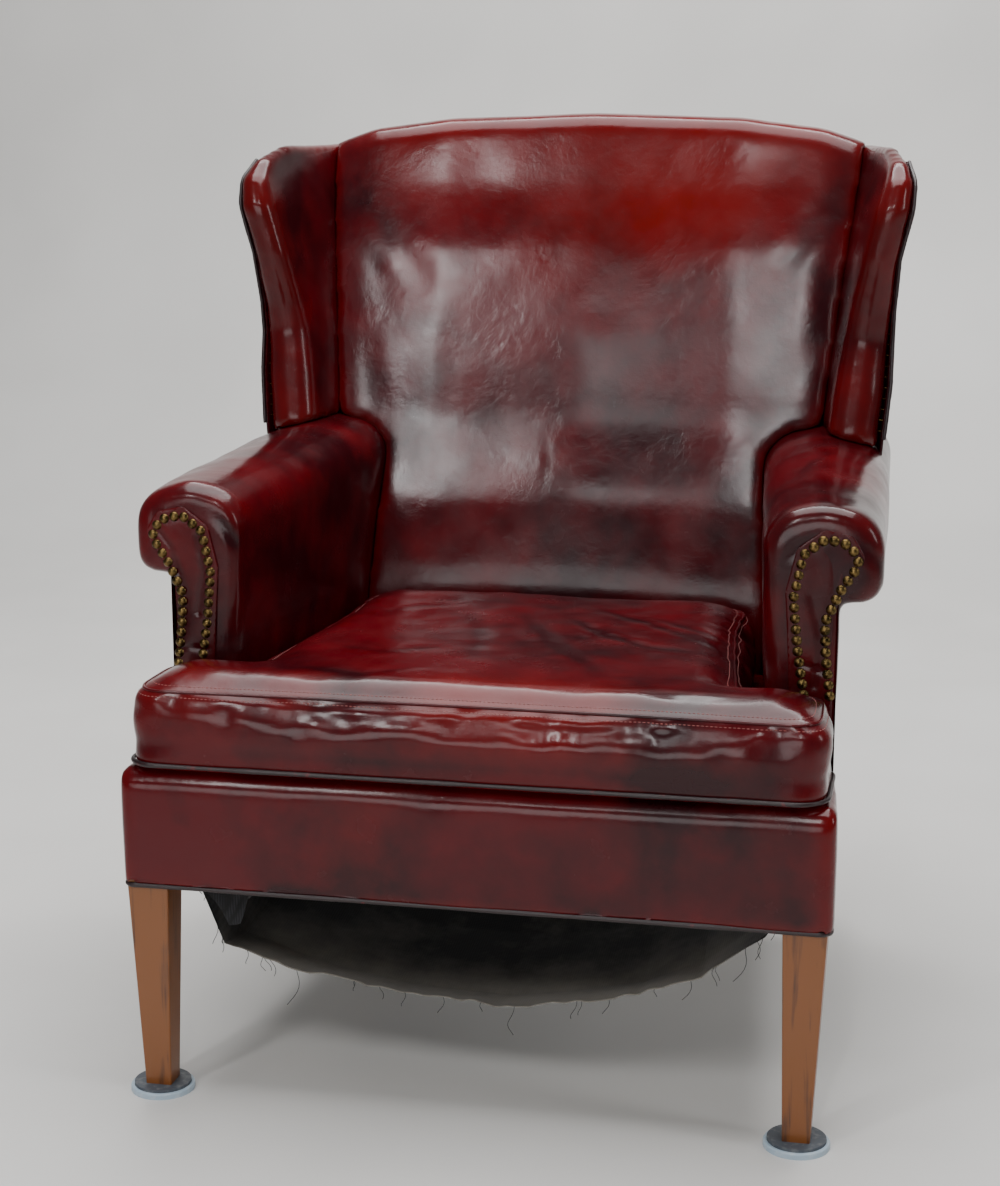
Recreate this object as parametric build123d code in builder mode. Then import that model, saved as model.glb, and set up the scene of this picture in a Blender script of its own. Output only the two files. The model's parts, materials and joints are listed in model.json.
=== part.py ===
from build123d import *
import os
from math import radians, sqrt, tan

os.makedirs("parts", exist_ok=True)

# Leather wing armchair. Millimetres, +Z up, +X to the sitter's left, -Y is the front.
# The origin is on the floor, at the middle of the chair's bounding box.

# Overall sizes
chair_height = 1054
chair_depth = 848
seat_width = 760
rear_width = 636
back_rake = 9.4
running_gap = 0.3
cover_thickness = 6

# Sliders under the feet
slider_diameter = 70
slider_base_height = 6.5
slider_edge_radius = 2
slider_pad_diameter = 62
slider_pad_height = 4.5
slider_recess = 1.5
slider_screw_diameter = 4
slider_screw_length = 24
slider_screw_head_diameter = 8
slider_screw_head_height = 2.5
slider_top = slider_base_height - slider_recess + slider_pad_height

# Legs and seat frame
leg_side = 46
foot_side = 29
leg_edge_radius = 2
front_foot_inset = 10
rail_bottom = 243
rail_height = 107
rail_thickness = 28
rail_top = rail_bottom + rail_height
post_side = 40
rear_foot_side = 30
rear_foot_kick = 66
dowel_diameter = 10
dowel_length = 50
dowel_wall = 5
dowel_spacing = 55
block_leg = 62
block_height = 70

# Deck and cushion
hessian_thickness = 1.2
deck_top = 370
cushion_bottom = deck_top + running_gap
cushion_seam_height = 80
cushion_crown = 25
cushion_corner_radius = 34
cushion_inner_radius = 22
cushion_side_gap = 4
cushion_welt_radius = 2.5
cushion_cover_thickness = 14
cushion_puff = 6
cushion_overhang = 4
cushion_crown_run = 48
cushion_welt_share = 0.08
convex_shrink_share = 0.45
concave_growth_share = 0.3
ear_inset = 7
rail_edge_radius = 24
rail_corner_radius = 14
rail_bulge = 4
base_welt_radius = 2.5

# Arms
arm_front_depth = 150
arm_gap_front = 568
arm_gap_slope_share = 0.085
arm_outer_front = 411
arm_outer_slope_share = 0.024
arm_top_height = 656
arm_top_rise_share = 0.03
arm_shoulder_drop = 18
arm_roll_underside = 550
arm_wrap = 10
arm_front_roll = 22
arm_base_flare = 12
arm_waist_height = 500
stump_thickness = 28
board_width = 56
board_thickness = 24
board_cover = 34
slat_thickness = 20
slat_height = 30
slat_lift = 35
slat_setback = 8
panel_thickness = 2.5

# Domed nails
nail_head_diameter = 11
nail_head_height = 3.2
nail_shank_diameter = 1.8
nail_shank_length = 15
facing_corner_radius = 12
nail_pitch = 11.6
wing_nail_head_diameter = 9
wing_nail_pitch = 13

# Back
crest_height = 62
crest_thickness = 24
crest_cover = 15
lower_rail_height = 50
lower_rail_lift = 90
webbing_thickness = 3
webbing_width = 58
back_top_radius = 30
back_rear_radius = 22
post_splay = 47
back_top_drop = 22
back_seat_depth = 562
back_crown = 18
back_top_arch = 38
back_bend_radius = 300
back_lap = 18

# Wings
wing_post_thickness = 18
wing_post_depth = 26
wing_post_cover = 4
wing_rail_height = 32
wing_rail_setback = 3
wing_rail_set_out = 8
wing_top_height = 1014
wing_welt_radius = 2.2
wing_crease_radius = 6
wing_foot_cover = 12
wing_front_depth = 560
wing_front_swing = 28
wing_half_width = 424
wing_flare = 30
wing_inner_half = 392
wing_fullness = 64
wing_roll_share = 0.42
wing_fold = 20
wing_panel_setback = 18
wing_welt_bend = 30
crease_low_half = 313
crease_high_half = 350
crease_low_depth = 650
crease_high_depth = 772

# Springs, webbing and dust cover
spring_wire = 3.8
spring_amplitude = 24
spring_pitch = 27
spring_bend_radius = 11
spring_spacing = 108
dust_cover_thickness = 1.2
dust_cover_front = 80
dust_cover_margin = 26
dust_tack_head_diameter = 6
dust_tack_head_height = 1
dust_tack_shank_diameter = 1.4
dust_tack_shank_length = 8
dust_tack_pitch = 60
dust_sag = 137
tack_reach_share = 0.97

# Places that follow from the sizes above
leg_setback = cover_thickness
foot_centre_depth = front_foot_inset + foot_side / 2
front_y = -chair_depth / 2 + slider_diameter / 2 - foot_centre_depth
back_y = chair_depth / 2 + back_top_drop * tan(radians(back_rake))
arm_front_y = front_y + arm_front_depth
front_leg_x = seat_width / 2 - cover_thickness - leg_side / 2
front_leg_y = front_y + leg_setback + leg_side / 2
front_foot_x = front_leg_x - (leg_side - foot_side) / 2 + front_foot_inset / 2
front_foot_y = front_y + foot_centre_depth
front_rail_back_y = front_y + cover_thickness + rail_thickness
post_splay_base = rail_top + cover_thickness
post_top = chair_height - crest_cover - leg_side + cover_thickness


def outside_back_y(height):
    """Depth of the raked outside back at a height."""
    return back_y - (chair_height - height) * tan(radians(back_rake))


base_rear_y = outside_back_y(rail_bottom)
base_run = base_rear_y - front_y
side_slope = (seat_width - rear_width) / 2 / base_run
post_x = rear_width / 2 - cover_thickness - post_side / 2
rear_foot_y = base_rear_y - cover_thickness - post_side / 2 + rear_foot_kick


def side_x(y):
    """Half width of the covered base at a depth."""
    return seat_width / 2 - side_slope * (y - front_y)


def post_centre_x(height):
    """Middle of the splayed back post at a height."""
    rise = max(height - post_splay_base, 0)
    return post_x + post_splay * rise / (post_top - post_splay_base)


def post_centre_y(height):
    """Depth of the back post's middle at a height."""
    return outside_back_y(height) - cover_thickness - post_side / 2


def slat_inner_x(y):
    """Inner face of the tacking slat, where the arm's inside pad ends."""
    return side_x(y) - cover_thickness - slat_setback - slat_thickness


def arm_inner_x(y):
    """Inner face of the arm at its fullest."""
    return arm_gap_front / 2 - arm_gap_slope_share * (y - arm_front_y)


def arm_outer_x(y):
    """Outer face of the arm's roll."""
    return arm_outer_front - arm_outer_slope_share * (y - arm_front_y)


def arm_top_z(y):
    """Top of the arm's roll."""
    return arm_top_height + arm_top_rise_share * (y - arm_front_y)


def at_depth(y):
    """Upright plane across the chair, X to the right and Z up."""
    return Plane.XZ.offset(-y)


# Sliders: a pale base with a shallow dish, a dark pad in the dish and one screw up into the foot
slider_places = [
    (front_foot_x, front_foot_y),
    (-front_foot_x, front_foot_y),
    (post_x, rear_foot_y),
    (-post_x, rear_foot_y),
]

with BuildPart() as slider_bases:
    with Locations(*slider_places):
        Cylinder(
            slider_diameter / 2, slider_base_height, align=(Align.CENTER, Align.CENTER, Align.MIN)
        )
    fillet(slider_bases.edges().group_by(Axis.Z)[-1], slider_edge_radius)
    with BuildSketch(Plane.XY.offset(slider_base_height)):
        with Locations(*slider_places):
            Circle(slider_pad_diameter / 2 + running_gap)
    extrude(amount=-slider_recess, mode=Mode.SUBTRACT)
    with BuildSketch():
        with Locations(*slider_places):
            Circle(slider_screw_head_diameter / 2 + running_gap)
    extrude(amount=slider_screw_head_height, mode=Mode.SUBTRACT)
    with BuildSketch():
        with Locations(*slider_places):
            Circle(slider_screw_diameter / 2 + running_gap)
    extrude(amount=slider_base_height, mode=Mode.SUBTRACT)
slider_bases.part.label = "slider_bases"
export_step(slider_bases.part, "parts/slider_bases.step")

with BuildPart() as slider_pads:
    with BuildSketch(Plane.XY.offset(slider_base_height - slider_recess)):
        with Locations(*slider_places):
            Circle(slider_pad_diameter / 2)
            Circle(slider_screw_diameter / 2 + running_gap, mode=Mode.SUBTRACT)
    extrude(amount=slider_pad_height)
slider_pads.part.label = "slider_pads"
export_step(slider_pads.part, "parts/slider_pads.step")

with BuildPart() as slider_screws:
    with BuildSketch(Plane.XY.offset(running_gap)):
        with Locations(*slider_places):
            Circle(slider_screw_head_diameter / 2)
    extrude(amount=slider_screw_head_height - running_gap)
    with BuildSketch(Plane.XY.offset(slider_screw_head_height)):
        with Locations(*slider_places):
            Circle(slider_screw_diameter / 2)
    extrude(amount=slider_screw_length)
slider_screws.part.label = "slider_screws"
export_step(slider_screws.part, "parts/slider_screws.step")

# Dowels: two in each joint of the seat frame, laid across the joint
joint_heights = [
    rail_bottom + (rail_height - dowel_spacing) / 2,
    rail_bottom + (rail_height + dowel_spacing) / 2,
]
front_rail_y = front_y + cover_thickness + rail_thickness / 2
leg_inner_x = front_leg_x - leg_side / 2
leg_back_y = front_leg_y + leg_side / 2
back_rail_y = post_centre_y(rail_bottom) + post_side / 2 - rail_thickness / 2
side_rail_front_x = side_x(leg_back_y) - cover_thickness - rail_thickness / 2
post_front_y = post_centre_y(rail_top) - post_side / 2
side_rail_back_x = side_x(post_front_y) - cover_thickness - rail_thickness / 2

side_dowel_rise = dowel_diameter + dowel_wall

with BuildPart() as rail_dowels:
    for height in joint_heights:
        side_height = height + side_dowel_rise
        for side in (1, -1):
            with Locations(
                Location((side * leg_inner_x, front_rail_y, height), (0, 90, 0)),
                Location((side * (post_x - post_side / 2), back_rail_y, height), (0, 90, 0)),
                Location((side * side_rail_front_x, leg_back_y, side_height), (90, 0, 0)),
                Location((side * side_rail_back_x, post_front_y, side_height), (90, 0, 0)),
            ):
                Cylinder(dowel_diameter / 2, dowel_length)
rail_dowels.part.label = "rail_dowels"
export_step(rail_dowels.part, "parts/rail_dowels.step")

# Front legs: tapered below the rails, square between them
with BuildPart() as front_leg_right:
    with BuildSketch(Plane.XY.offset(slider_top)):
        with Locations((front_foot_x, front_foot_y)):
            RectangleRounded(foot_side, foot_side, leg_edge_radius)
    with BuildSketch(Plane.XY.offset(rail_bottom)):
        with Locations((front_leg_x, front_leg_y)):
            RectangleRounded(leg_side, leg_side, leg_edge_radius)
    loft(ruled=True)
    with BuildSketch(Plane.XY.offset(rail_bottom)):
        with Locations((front_leg_x, front_leg_y)):
            RectangleRounded(leg_side, leg_side, leg_edge_radius)
    extrude(amount=rail_height)
    add(rail_dowels.part, mode=Mode.SUBTRACT)
    add(slider_screws.part, mode=Mode.SUBTRACT)
front_leg_right.part.label = "front_leg_right"
export_step(front_leg_right.part, "parts/front_leg_right.step")

with BuildPart() as front_leg_left:
    mirror(front_leg_right.part, about=Plane.YZ)
front_leg_left.part.label = "front_leg_left"
export_step(front_leg_left.part, "parts/front_leg_left.step")

# Back posts: raked rear leg, seat joint and splayed upright in one length of timber
post_sections = [
    (post_x, rear_foot_y, slider_top, rear_foot_side),
    (post_x, post_centre_y(rail_bottom), rail_bottom, post_side),
    (post_x, post_centre_y(post_splay_base), post_splay_base, post_side),
    (post_centre_x(post_top), post_centre_y(post_top), post_top, post_side),
]

with BuildPart() as back_post_right:
    for centre_x, centre_y, height, side in post_sections:
        with BuildSketch(Plane.XY.offset(height)):
            with Locations((centre_x, centre_y)):
                Rectangle(side, side)
    loft(ruled=True)
    add(rail_dowels.part, mode=Mode.SUBTRACT)
    add(slider_screws.part, mode=Mode.SUBTRACT)
back_post_right.part.label = "back_post_right"
export_step(back_post_right.part, "parts/back_post_right.step")

with BuildPart() as back_post_left:
    mirror(back_post_right.part, about=Plane.YZ)
back_post_left.part.label = "back_post_left"
export_step(back_post_left.part, "parts/back_post_left.step")

# Seat rails
with BuildPart() as front_rail:
    with BuildSketch(Plane.XY.offset(rail_bottom)):
        with Locations((0, front_rail_y)):
            Rectangle(leg_inner_x * 2, rail_thickness)
    extrude(amount=rail_height)
    add(rail_dowels.part, mode=Mode.SUBTRACT)
front_rail.part.label = "front_rail"
export_step(front_rail.part, "parts/front_rail.step")

with BuildPart() as back_rail:
    with BuildSketch(Plane.XY.offset(rail_bottom)):
        with Locations((0, back_rail_y)):
            Rectangle((post_x - post_side / 2) * 2, rail_thickness)
    extrude(amount=rail_height)
    add(rail_dowels.part, mode=Mode.SUBTRACT)
back_rail.part.label = "back_rail"
export_step(back_rail.part, "parts/back_rail.step")

side_rail_end_y = post_centre_y(rail_bottom)

with BuildPart() as side_rail_right:
    with BuildSketch(Plane.XY.offset(rail_bottom)):
        with BuildLine():
            Polyline(
                (side_x(leg_back_y) - cover_thickness, leg_back_y),
                (side_x(side_rail_end_y) - cover_thickness, side_rail_end_y),
                (side_x(side_rail_end_y) - cover_thickness - rail_thickness, side_rail_end_y),
                (side_x(leg_back_y) - cover_thickness - rail_thickness, leg_back_y),
                close=True,
            )
        make_face()
    extrude(amount=rail_height)
    add(back_post_right.part, mode=Mode.SUBTRACT)
    add(rail_dowels.part, mode=Mode.SUBTRACT)
    side_rail_body = side_rail_right.solids().sort_by(Axis.Y)[0]
    add(side_rail_body, mode=Mode.INTERSECT)
side_rail_right.part.label = "side_rail_right"
export_step(side_rail_right.part, "parts/side_rail_right.step")

with BuildPart() as side_rail_left:
    mirror(side_rail_right.part, about=Plane.YZ)
side_rail_left.part.label = "side_rail_left"
export_step(side_rail_left.part, "parts/side_rail_left.step")

# Corner blocks glued and screwed across the frame's inner corners
block_bottom = rail_bottom + (rail_height - block_height) / 2
front_block_y = front_y + cover_thickness + rail_thickness
back_block_y = back_rail_y - rail_thickness / 2
front_block_x = min(leg_inner_x, side_x(leg_back_y) - cover_thickness - rail_thickness)
back_block_x = post_x - post_side / 2

with BuildPart() as corner_blocks:
    with BuildSketch(Plane.XY.offset(block_bottom)):
        for side in (1, -1):
            for corner_x, corner_y, inward in (
                (front_block_x, front_block_y, 1),
                (back_block_x, back_block_y, -1),
            ):
                with BuildLine():
                    Polyline(
                        (side * corner_x, corner_y),
                        (side * (corner_x - block_leg), corner_y),
                        (side * corner_x, corner_y + inward * block_leg),
                        close=True,
                    )
                make_face()
    extrude(amount=block_height)
corner_blocks.part.label = "corner_blocks"
export_step(corner_blocks.part, "parts/corner_blocks.step")

# Lower back rail, crest rail and webbing between the back posts
lower_rail_bottom = rail_top + lower_rail_lift
lower_rail_top = lower_rail_bottom + lower_rail_height
crest_bottom = post_top - crest_height / 2
crest_front_y = post_centre_y(post_top) - crest_thickness / 2

with BuildPart() as lower_back_rail:
    with BuildSketch(Plane.XY.offset(lower_rail_bottom)):
        with Locations((0, post_centre_y(lower_rail_bottom))):
            Rectangle(post_centre_x(lower_rail_top) * 2, rail_thickness)
    extrude(amount=lower_rail_height)
    add(back_post_right.part, mode=Mode.SUBTRACT)
    add(back_post_left.part, mode=Mode.SUBTRACT)
lower_back_rail.part.label = "lower_back_rail"
export_step(lower_back_rail.part, "parts/lower_back_rail.step")

crest_half_width = post_centre_x(crest_bottom)
crest_end_top = post_top
crest_mid_top = chair_height - crest_cover

with BuildPart() as crest_rail:
    with BuildSketch(at_depth(crest_front_y)):
        with BuildLine():
            Line((-crest_half_width, crest_bottom), (crest_half_width, crest_bottom))
            Line((crest_half_width, crest_bottom), (crest_half_width, crest_end_top))
            ThreePointArc(
                (crest_half_width, crest_end_top),
                (0, crest_mid_top),
                (-crest_half_width, crest_end_top),
            )
            Line((-crest_half_width, crest_end_top), (-crest_half_width, crest_bottom))
        make_face()
    extrude(amount=-crest_thickness)
    add(back_post_right.part, mode=Mode.SUBTRACT)
    add(back_post_left.part, mode=Mode.SUBTRACT)
crest_rail.part.label = "crest_rail"
export_step(crest_rail.part, "parts/crest_rail.step")

webbing_count = 4
webbing_start = lower_rail_top + webbing_width
webbing_step = (crest_bottom - webbing_start - webbing_width) / (webbing_count - 1)

with BuildPart() as back_webbing:
    for strap in range(webbing_count):
        strap_bottom = webbing_start + strap * webbing_step - webbing_width / 2
        strap_top = strap_bottom + webbing_width
        low_y = post_centre_y(strap_bottom) - post_side / 2
        high_y = post_centre_y(strap_top) - post_side / 2
        strap_half = post_centre_x(strap_bottom)
        with BuildSketch(Plane.YZ.offset(-strap_half)):
            with BuildLine():
                Polyline(
                    (low_y, strap_bottom),
                    (high_y, strap_top),
                    (high_y - webbing_thickness, strap_top),
                    (low_y - webbing_thickness, strap_bottom),
                    close=True,
                )
            make_face()
        extrude(amount=strap_half * 2)
back_webbing.part.label = "back_webbing"
export_step(back_webbing.part, "parts/back_webbing.step")

# Arm frame: stump at the front, board along the top, slat low on the inside
stump_front_y = arm_front_y + arm_wrap
stump_back_y = stump_front_y + stump_thickness


def arm_corners(y, inset, outside_cover=0):
    """Corners of the arm's full outline at a depth, drawn in by an inset."""
    inner = arm_inner_x(y) + inset
    outer = arm_outer_x(y) - inset
    top = arm_top_z(y) - inset
    shoulder = top - arm_shoulder_drop
    middle = (inner + outer) / 2
    underside = arm_roll_underside + inset
    outside = side_x(y) - outside_cover
    return [
        (inner + arm_base_flare, rail_top),
        (inner + arm_base_flare / 2, arm_waist_height),
        (inner, shoulder),
        (middle, top),
        (outer, shoulder),
        (outer, underside),
        (outside, underside - inset / 2),
        (outside, rail_top),
    ]


arm_radii = [2, 60, 48, 70, 42, 24, 6, 2]
stump_radii = [2, 60, 38, 60, 34, 14, 4, 2]

with BuildPart() as arm_stump_right:
    with BuildSketch(at_depth(stump_front_y)):
        with BuildLine():
            FilletPolyline(
                *arm_corners(stump_front_y, arm_wrap, cover_thickness),
                radius=stump_radii,
                close=True,
            )
        make_face()
    extrude(amount=-stump_thickness)
arm_stump_right.part.label = "arm_stump_right"
export_step(arm_stump_right.part, "parts/arm_stump_right.step")

with BuildPart() as arm_stump_left:
    mirror(arm_stump_right.part, about=Plane.YZ)
arm_stump_left.part.label = "arm_stump_left"
export_step(arm_stump_left.part, "parts/arm_stump_left.step")

board_top = arm_top_height - board_cover
board_bottom = board_top - board_thickness
board_centre_x = (arm_inner_x(stump_back_y) + arm_outer_x(stump_back_y)) / 2 - leg_edge_radius
board_end_y = post_centre_y(board_bottom)

with BuildPart() as arm_board_right:
    with BuildSketch(Plane.XY.offset(board_bottom)):
        with BuildLine():
            Polyline(
                (board_centre_x - board_width / 2, stump_back_y),
                (board_centre_x + board_width / 2, stump_back_y),
                (board_centre_x + board_width / 2, board_end_y),
                (post_centre_x(board_bottom), board_end_y),
                close=True,
            )
        make_face()
    extrude(amount=board_thickness)
    add(back_post_right.part, mode=Mode.SUBTRACT)
    board_body = arm_board_right.solids().sort_by(Axis.Y)[0]
    add(board_body, mode=Mode.INTERSECT)
arm_board_right.part.label = "arm_board_right"
export_step(arm_board_right.part, "parts/arm_board_right.step")

with BuildPart() as arm_board_left:
    mirror(arm_board_right.part, about=Plane.YZ)
arm_board_left.part.label = "arm_board_left"
export_step(arm_board_left.part, "parts/arm_board_left.step")

slat_bottom = rail_top + slat_lift
slat_end_y = post_centre_y(slat_bottom)

with BuildPart() as arm_slat_right:
    with BuildSketch(Plane.XY.offset(slat_bottom)):
        with BuildLine():
            Polyline(
                (slat_inner_x(stump_back_y), stump_back_y),
                (slat_inner_x(stump_back_y) + slat_thickness, stump_back_y),
                (slat_inner_x(slat_end_y) + slat_thickness, slat_end_y),
                (slat_inner_x(slat_end_y), slat_end_y),
                close=True,
            )
        make_face()
    extrude(amount=slat_height)
    add(back_post_right.part, mode=Mode.SUBTRACT)
    slat_body = arm_slat_right.solids().sort_by(Axis.Y)[0]
    add(slat_body, mode=Mode.INTERSECT)
arm_slat_right.part.label = "arm_slat_right"
export_step(arm_slat_right.part, "parts/arm_slat_right.step")

with BuildPart() as arm_slat_left:
    mirror(arm_slat_right.part, about=Plane.YZ)
arm_slat_left.part.label = "arm_slat_left"
export_step(arm_slat_left.part, "parts/arm_slat_left.step")

# Wing frame: upright on the arm board and a rail back to the post
wing_bottom = board_top - wing_foot_cover
wing_height = wing_top_height - wing_bottom


def blend_rows(rows, share):
    """Read a table of shares between its rows."""
    for lower, upper in zip(rows, rows[1:]):
        if share <= upper[0]:
            part_way = (share - lower[0]) / (upper[0] - lower[0])
            return [low + (high - low) * part_way for low, high in zip(lower, upper)]
    return list(rows[-1])


# Share of the wing's height, then of its front swing, its outer flare and its inner fullness
wing_shares = [
    (0.000, 0.18, 1.00, 1.00),
    (0.149, 0.18, 0.87, 1.00),
    (0.297, 0.61, 0.70, 0.89),
    (0.421, 1.00, 0.70, 0.77),
    (0.520, 0.82, 0.68, 0.66),
    (0.668, 0.29, 0.55, 0.47),
    (0.817, 0.04, 0.07, 0.23),
    (0.896, 0.50, 0.03, 0.06),
    (0.955, 1.64, 0.37, 0.02),
    (1.000, 3.86, 0.93, 0.19),
]


def wing_row(height):
    """Front depth, outer half width and inner half width of the wing at a height."""
    row = blend_rows(wing_shares, (height - wing_bottom) / wing_height)
    front = front_y + wing_front_depth + wing_front_swing * row[1]
    outer = wing_half_width - wing_flare * row[2]
    inner = wing_inner_half - wing_fullness * row[3]
    return front, outer, inner


def crease_x(height):
    """Half width of the inside back where it meets the wing."""
    share = (height - arm_top_height) / (wing_top_height - arm_top_height)
    return crease_low_half + (crease_high_half - crease_low_half) * share


def crease_y(height):
    """Depth of the inside back where it meets the wing."""
    share = (height - arm_top_height) / (wing_top_height - arm_top_height)
    return front_y + crease_low_depth + (crease_high_depth - crease_low_depth) * share


wing_post_top = wing_top_height - wing_rail_height * 2
wing_post_front_y = front_y + wing_front_depth + wing_front_swing + wing_post_thickness / 2
wing_heights = [wing_bottom + wing_height * row[0] for row in wing_shares]
wing_post_heights = [height for height in wing_heights if board_top < height < wing_post_top]


def wing_side_x(height):
    """Half width of the chair's side where it meets the outside back."""
    return post_centre_x(height) + post_side / 2 + cover_thickness


def wing_outside(height, depth_in):
    """Point on the wing's outside face, a run back from its front edge."""
    front, outer, inner = wing_row(height)
    back_end = outside_back_y(height) - cover_thickness
    run_share = depth_in / (back_end - front)
    return Vector(outer + (wing_side_x(height) - outer) * run_share, front + depth_in, height)


def wing_skin_x(height, depth):
    """Half width of the wing's padding under its outside panel."""
    return wing_outside(height, depth - wing_row(height)[0]).X - panel_thickness


with BuildPart() as wing_post_right:
    for height in [board_top] + wing_post_heights + [wing_post_top]:
        skin_x = wing_skin_x(height, wing_post_front_y + wing_post_depth)
        with BuildSketch(Plane.XY.offset(height)):
            with Locations(
                (
                    skin_x - wing_post_cover - wing_post_thickness / 2,
                    wing_post_front_y + wing_post_depth / 2,
                )
            ):
                Rectangle(wing_post_thickness, wing_post_depth)
    loft(ruled=True)
wing_post_right.part.label = "wing_post_right"
export_step(wing_post_right.part, "parts/wing_post_right.step")

with BuildPart() as wing_post_left:
    mirror(wing_post_right.part, about=Plane.YZ)
wing_post_left.part.label = "wing_post_left"
export_step(wing_post_left.part, "parts/wing_post_left.step")

wing_rail_end_y = post_centre_y(post_top)
wing_rail_end_x = post_centre_x(post_top) + wing_rail_set_out
wing_rail_front_z = wing_post_top + wing_rail_height / 2
wing_rail_skin_x = wing_skin_x(wing_rail_front_z, wing_post_front_y)
wing_rail_front_x = (wing_rail_skin_x + wing_row(wing_rail_front_z)[2]) / 2

with BuildPart() as wing_rail_right:
    with BuildSketch(at_depth(wing_post_front_y + wing_rail_setback)):
        with Locations((wing_rail_front_x, wing_rail_front_z)):
            Rectangle(wing_post_thickness, wing_rail_height)
    with BuildSketch(at_depth(wing_rail_end_y)):
        with Locations((wing_rail_end_x, post_top - wing_rail_height / 2)):
            Rectangle(wing_post_thickness, wing_rail_height)
    loft(ruled=True)
    add(back_post_right.part, mode=Mode.SUBTRACT)
    add(crest_rail.part, mode=Mode.SUBTRACT)
    wing_rail_body = wing_rail_right.solids().sort_by(Axis.Y)[0]
    add(wing_rail_body, mode=Mode.INTERSECT)
wing_rail_right.part.label = "wing_rail_right"
export_step(wing_rail_right.part, "parts/wing_rail_right.step")

with BuildPart() as wing_rail_left:
    mirror(wing_rail_right.part, about=Plane.YZ)
wing_rail_left.part.label = "wing_rail_left"
export_step(wing_rail_left.part, "parts/wing_rail_left.step")

# Seat springs: serpentine wires from the front rail to the back rail
spring_z = rail_top - spring_wire
spring_front_y = front_rail_back_y + running_gap
spring_back_y = back_block_y - running_gap
spring_turns = int((spring_back_y - spring_front_y) / spring_pitch) - 1
spring_lead = (spring_back_y - spring_front_y - spring_turns * spring_pitch) / 2
spring_points = [(0, spring_front_y), (0, spring_front_y + spring_lead)]
for turn in range(spring_turns):
    turn_side = spring_amplitude if turn % 2 == 0 else -spring_amplitude
    turn_y = spring_front_y + spring_lead + turn * spring_pitch
    spring_points.append((turn_side, turn_y))
    spring_points.append((turn_side, turn_y + spring_pitch))
spring_points.append((0, spring_back_y - spring_lead))
spring_points.append((0, spring_back_y))

with BuildPart() as spring:
    with BuildLine(Plane.XY.offset(spring_z)) as spring_path:
        FilletPolyline(*spring_points, radius=spring_bend_radius)
    with BuildSketch(Plane(origin=spring_path.line @ 0, z_dir=spring_path.line % 0)):
        Circle(spring_wire / 2)
    sweep()

with BuildPart() as seat_springs:
    with Locations(*[(spring_spacing * place, 0) for place in (-2, -1, 0, 1, 2)]):
        add(spring.part)
seat_springs.part.label = "seat_springs"
export_step(seat_springs.part, "parts/seat_springs.step")

# Hessian stretched over the springs and tacked on the rails' inner edges
hessian_lap = rail_thickness / 2
hessian_front_y = front_rail_back_y - hessian_lap
hessian_back_y = back_block_y + hessian_lap

with BuildPart() as seat_hessian:
    with BuildSketch(Plane.XY.offset(rail_top)):
        with BuildLine():
            Polyline(
                (-side_x(hessian_front_y) + rail_thickness + cover_thickness, hessian_front_y),
                (side_x(hessian_front_y) - rail_thickness - cover_thickness, hessian_front_y),
                (side_x(hessian_back_y) - rail_thickness - cover_thickness, hessian_back_y),
                (-side_x(hessian_back_y) + rail_thickness + cover_thickness, hessian_back_y),
                close=True,
            )
        make_face()
    extrude(amount=hessian_thickness)
    for wood in (front_leg_right, front_leg_left, back_post_right, back_post_left):
        add(wood.part, mode=Mode.SUBTRACT)
    for wood in (arm_stump_right, arm_stump_left):
        add(wood.part, mode=Mode.SUBTRACT)
seat_hessian.part.label = "seat_hessian"
export_step(seat_hessian.part, "parts/seat_hessian.step")

# Cover of the front rail: a bulged face, a padded top edge and short returns at the sides
face_low_y = front_y + rail_bulge
shoulder_z = deck_top - rail_edge_radius
shoulder_share = 0.29
frame_side_front_x = side_x(front_y) - cover_thickness
frame_side_arm_x = side_x(arm_front_y) - cover_thickness

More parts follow.
